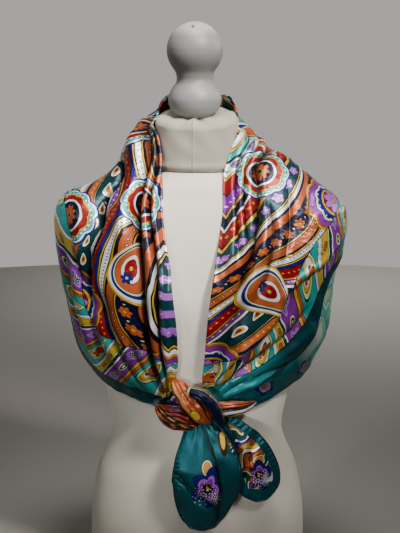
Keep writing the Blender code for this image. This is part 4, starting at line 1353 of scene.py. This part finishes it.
def buildForm(jersey, paint):
    # the torso, closed at its neck, with a rounded foot
    v = formValues
    neckFoot, neckTop, rounding = v["height"], v["neckTop"], v["neckRounding"]
    upper = np.linspace(0.56, neckFoot - 0.0003, 40)
    heights = np.concatenate([np.linspace(0, 0.56, 90, endpoint=False), upper])
    turn, height = np.meshgrid(np.linspace(-180, 180, 200, endpoint=False), heights)
    fromFoot = np.clip(height / v["footRounding"], 0, 1)
    foot = v["footRounding"] * (1 - np.sqrt(np.clip(1 - (1 - fromFoot) ** 2, 0, 1)))
    torso = tube("jerseyTorso", placed(turn, height, formRadius(turn, height) - foot), jersey)
    dress(torso, "jersey", "form_torso")

    # the neck block: a seam down its front, a stitched seam round its foot and a rounded top
    edge = np.radians(np.linspace(0, 90, 16))
    sides = np.linspace(neckFoot, neckTop - rounding, 50, endpoint=False)
    heights = np.concatenate([sides, neckTop - rounding + rounding * np.sin(edge), np.full(12, neckTop)])
    inwards = rounding + np.linspace(0.003, 0.030, 12)
    insets = np.concatenate([0 * sides, rounding * (1 - np.cos(edge)), inwards])
    turn, height = np.meshgrid(np.linspace(-180, 180, 420, endpoint=False), heights)
    seamTurn, above = turn + 2.0, height - neckFoot
    radius = formRadius(turn, height) + 0.0016 - insets[:, None]
    seam = bell(seamTurn, 0.8) * 0.0014 - bell(seamTurn, 3.2) * 0.0009
    radius = radius - seam * (height < neckTop - 0.002)
    radius = radius - 0.0024 * bell(above, 0.0035) + 0.0010 * bell(above - 0.008, 0.005)
    ripple = wrinkles(np.radians(turn) * 0.058, height, 12, 0.060, 0.022, 8, 0.0005)
    top = placed(turn, height, radius + ripple * softStep(above / 0.03))
    rim = np.maximum(height - neckTop + rounding, 0) / rounding
    dips = 0.0014 * bell(seamTurn, 6) - 0.0022 * bell(np.abs(seamTurn) - 20, 9)
    top[..., 2] += rim * (dips + ripple * 1.6)
    top[..., 2] += neckRise(top) * above / (neckTop - neckFoot)
    neck = dress(tube("jerseyNeck", top, jersey), "jersey", "form_neck")

    # the finial: a profile of (radius, height) turned round its axis
    ball, centre = v["ballRadius"], v["ballCentre"]
    angles = np.radians(np.arange(-38, 87, 8))
    known = np.concatenate([
        [(0.025, neckTop + 0.0003), (0.0305, 0.7255), (0.0345, 0.731), (0.0378, 0.740), (0.0388, 0.750),
         (0.0372, 0.760), (0.0322, 0.770), (0.0272, 0.777), (0.0262, 0.782), (0.0275, 0.790)],
        np.stack([ball * np.cos(angles), centre + ball * np.sin(angles)], axis=-1),
        [(0.0026, centre + ball), (0.0022, centre + ball - 0.0008)],
    ])
    share, fine = np.linspace(0, 1, len(known)), np.linspace(0, 1, 150)
    radius, height = [smooth(share, values, fine)[:, None] for values in known.T]
    turns = np.linspace(-180, 180, 120, endpoint=False)[None]
    rings = placed(turns + 0 * radius, height, radius) + [v["finialShift"], 0, 0]
    rings[..., 2] += neckRise(rings) * np.clip((v["footTop"] - height) / (v["footTop"] - neckTop), 0, 1)
    finial = dress(tube("turnedFinial", rings, paint), "lacquer", "form_finial")
    return torso, neck, finial


print("building the scarf")
hemSilk = plainSilk("rolled hem silk", dye["teal"])
drape, drapeHem = buildDrape(silkPrint("printed silk satin"), hemSilk)
under, underHem = buildUnderLayer(underSilk("silk satin lower layer"), hemSilk)
knotSilks = {
    "knotWrap": stripedSilk(
        "knot silk navy",
        "navy 30.8, mint 1.7, orange 2.2, navy 2, mint 1.5, orange 9, navy 28.2",
        0.0, 0.003, [(0.0065, 0.016, 0.0018, 0.05, "mint")],
    ),
    "knotBand": stripedSilk(
        "knot silk orange",
        "orange 13, brown 1, peach 7, orange 13, brown 1, orange 9, brown 9, orange 22.4",
        0.16, 0.010, [(0.055, 0.014, 0.008, 0.0055, "gold"), (0.030, 0.032, 0.007, 0.004, "brown")],
    ),
    "knotRoll": stripedSilk(
        "knot silk red",
        "red 4, brown 4, mint 1.2, red 3, brown 4, orange 4, brown 3, gold 1.6, brown 3, orange 3, red 4, "
        "brown 4, purple 2, white 1.2, brown 33.4",
        0.22, 0.010,
    ),
    "knotLoop": stripedSilk(
        "knot silk striped",
        "orange 6, navy 1.6, orange 4, brown 4, navy 2, white 8, brown 1.2, gold 5, mint 4, teal 4, "
        "orange 35.6",
        -0.05, 0.006,
    ),
}
knots = [buildKnotTurn(name, silk) for name, silk in knotSilks.items()]
frontSilk = tailSilk(
    "silk border front",
    [(0.003, 0.096, 0.025, 5, 1)],
    [(0.001, 0.067, 0.008, 0.011, "peach", "mint"), (0.027, 0.034, 0.0058, 0.020, "gold", "brown")],
    strip=(0.026, 0.060, 0.012, 0.056, -1.0),
)
sideSilk = tailSilk(
    "silk border side",
    [(0.001, 0.113, 0.020, 5, -9)],
    [(0.008, 0.090, 0.010, 0.006, "peach", "mint")],
    panel=(-0.040, 0.040, 0.004, 0.131, 0.012),
)
frontTail, frontHem = buildTail("tailFront", frontSilk, hemSilk)
sideTail, sideHem = buildTail("tailSide", sideSilk, hemSilk)

print("building the form")
buildForm(jerseyCover(), whitePaint())


def areaOf(piece):
    # half the surface of a thin closed wall
    areas = np.empty(len(piece.data.polygons))
    piece.data.polygons.foreach_get("area", areas)
    return areas.sum() / 2


drapeArea = round(areaOf(drape), 3)
for piece in knots:
    side = round(math.sqrt(areaOf(piece) * 0.9), 3)  # a little less than the surface, which has its ends on

print("stage, light and camera")
stageValues = {
    "floorRadii": (0.001, 0.5, 1.2, 2.0, 2.7),
    "floor": colour(148, 144, 136),
    "wall": colour(200, 198, 194),
    "front": 0.115,  # how bright the room is in front of the form, and behind it
    "behind": 0.78,
}


def floorMaterial(tint):
    made, tree = newMaterial("pale floor")
    cloud = noise(objectPlace(tree), 3.0, 3.0, flat=False)
    worn = tuple(c * 0.94 for c in tint[:3]) + (1,)
    satin(tree, mixed(cloud, tint, worn), 0.7, None, {"Specular IOR Level": 0.2})
    return made


angle = np.linspace(0, 2 * math.pi, 97)[:-1]
radii = np.array(stageValues["floorRadii"])[:, None]
disc = np.stack([radii * np.sin(angle), radii * np.cos(angle), 0 * radii * angle], axis=-1)
index = np.arange(disc[..., 0].size).reshape(disc.shape[:2])
index = np.concatenate([index, index[:, :1]], axis=1)
floorFaces = gridFaces(index)
floor = meshObject("studioFloor", disc.reshape(-1, 3), floorFaces, floorMaterial(stageValues["floor"]))

lightValues = {
    # name: place, aim, size, watts, spread in degrees, tint
    "key softbox": ((0.96, -1.22, 1.92), (-0.10, -0.10, 0.62), 0.40, 1.90, 24, (1.0, 0.985, 0.95)),
    "top softbox": ((0.10, -0.45, 2.00), (0.0, -0.05, 0.60), 0.55, 1.5, 42, (1.0, 1.0, 1.0)),
    "left strip": ((-1.1, -1.2, 1.50), (-0.15, -0.08, 0.60), 0.36, 0.27, 22, (0.95, 0.96, 1.0)),
    "low softbox": ((-0.35, -1.65, 0.50), (0.05, -0.12, 0.30), 0.22, 0.100, 12.5, (0.95, 0.98, 1.0)),
    "back softbox": ((0.3, 2.1, 2.1), (0.2, 2.3, 0.0), 0.90, 18, 100, (1.0, 1.0, 1.0)),
    "back fill": ((1.9, 0.9, 1.3), (0.0, 0.0, 0.50), 0.60, 1.1, 50, (1.0, 1.0, 1.0)),
}


def aimed(name, data, place, target):
    made = bpy.data.objects.new(name, data)
    bpy.context.collection.objects.link(made)
    made.location = place
    made.rotation_euler = (Vector(target) - Vector(place)).to_track_quat("-Z", "Y").to_euler()
    return made


for name, (place, target, size, power, spread, tint) in lightValues.items():
    data = bpy.data.lights.new(name, "AREA")
    data.shape, data.size, data.energy, data.color = "DISK", size, power, tint
    data.spread = math.radians(spread)
    aimed(name, data, place, target)

# the room: dim in front of the form and pale behind it, by the direction looked in
world = bpy.data.worlds.new("studio")
bpy.context.scene.world = world
world.use_nodes = True
_, towards, above = split(Wire(world.node_tree).node("ShaderNodeTexCoord"))
low = towards - above.maths("MAXIMUM", 0.0) * 1.2
reach = {0: low, 1: 0.0, 2: 0.85, 3: stageValues["front"], 4: stageValues["behind"]}
share = low.node("ShaderNodeMapRange", {"interpolation_type": "SMOOTHSTEP"}, reach)
background = world.node_tree.nodes["Background"]
plug(stageValues["wall"], background.inputs[0])
plug(share, background.inputs[1])

lens = bpy.data.cameras.new("camera")
lens.lens, lens.sensor_width, lens.clip_end = 72.4, 36, 50
camera = aimed("camera", lens, (0.1413, -1.5642, 0.8113), (0.00446, 0.00039, 0.506))
bpy.context.scene.camera = camera
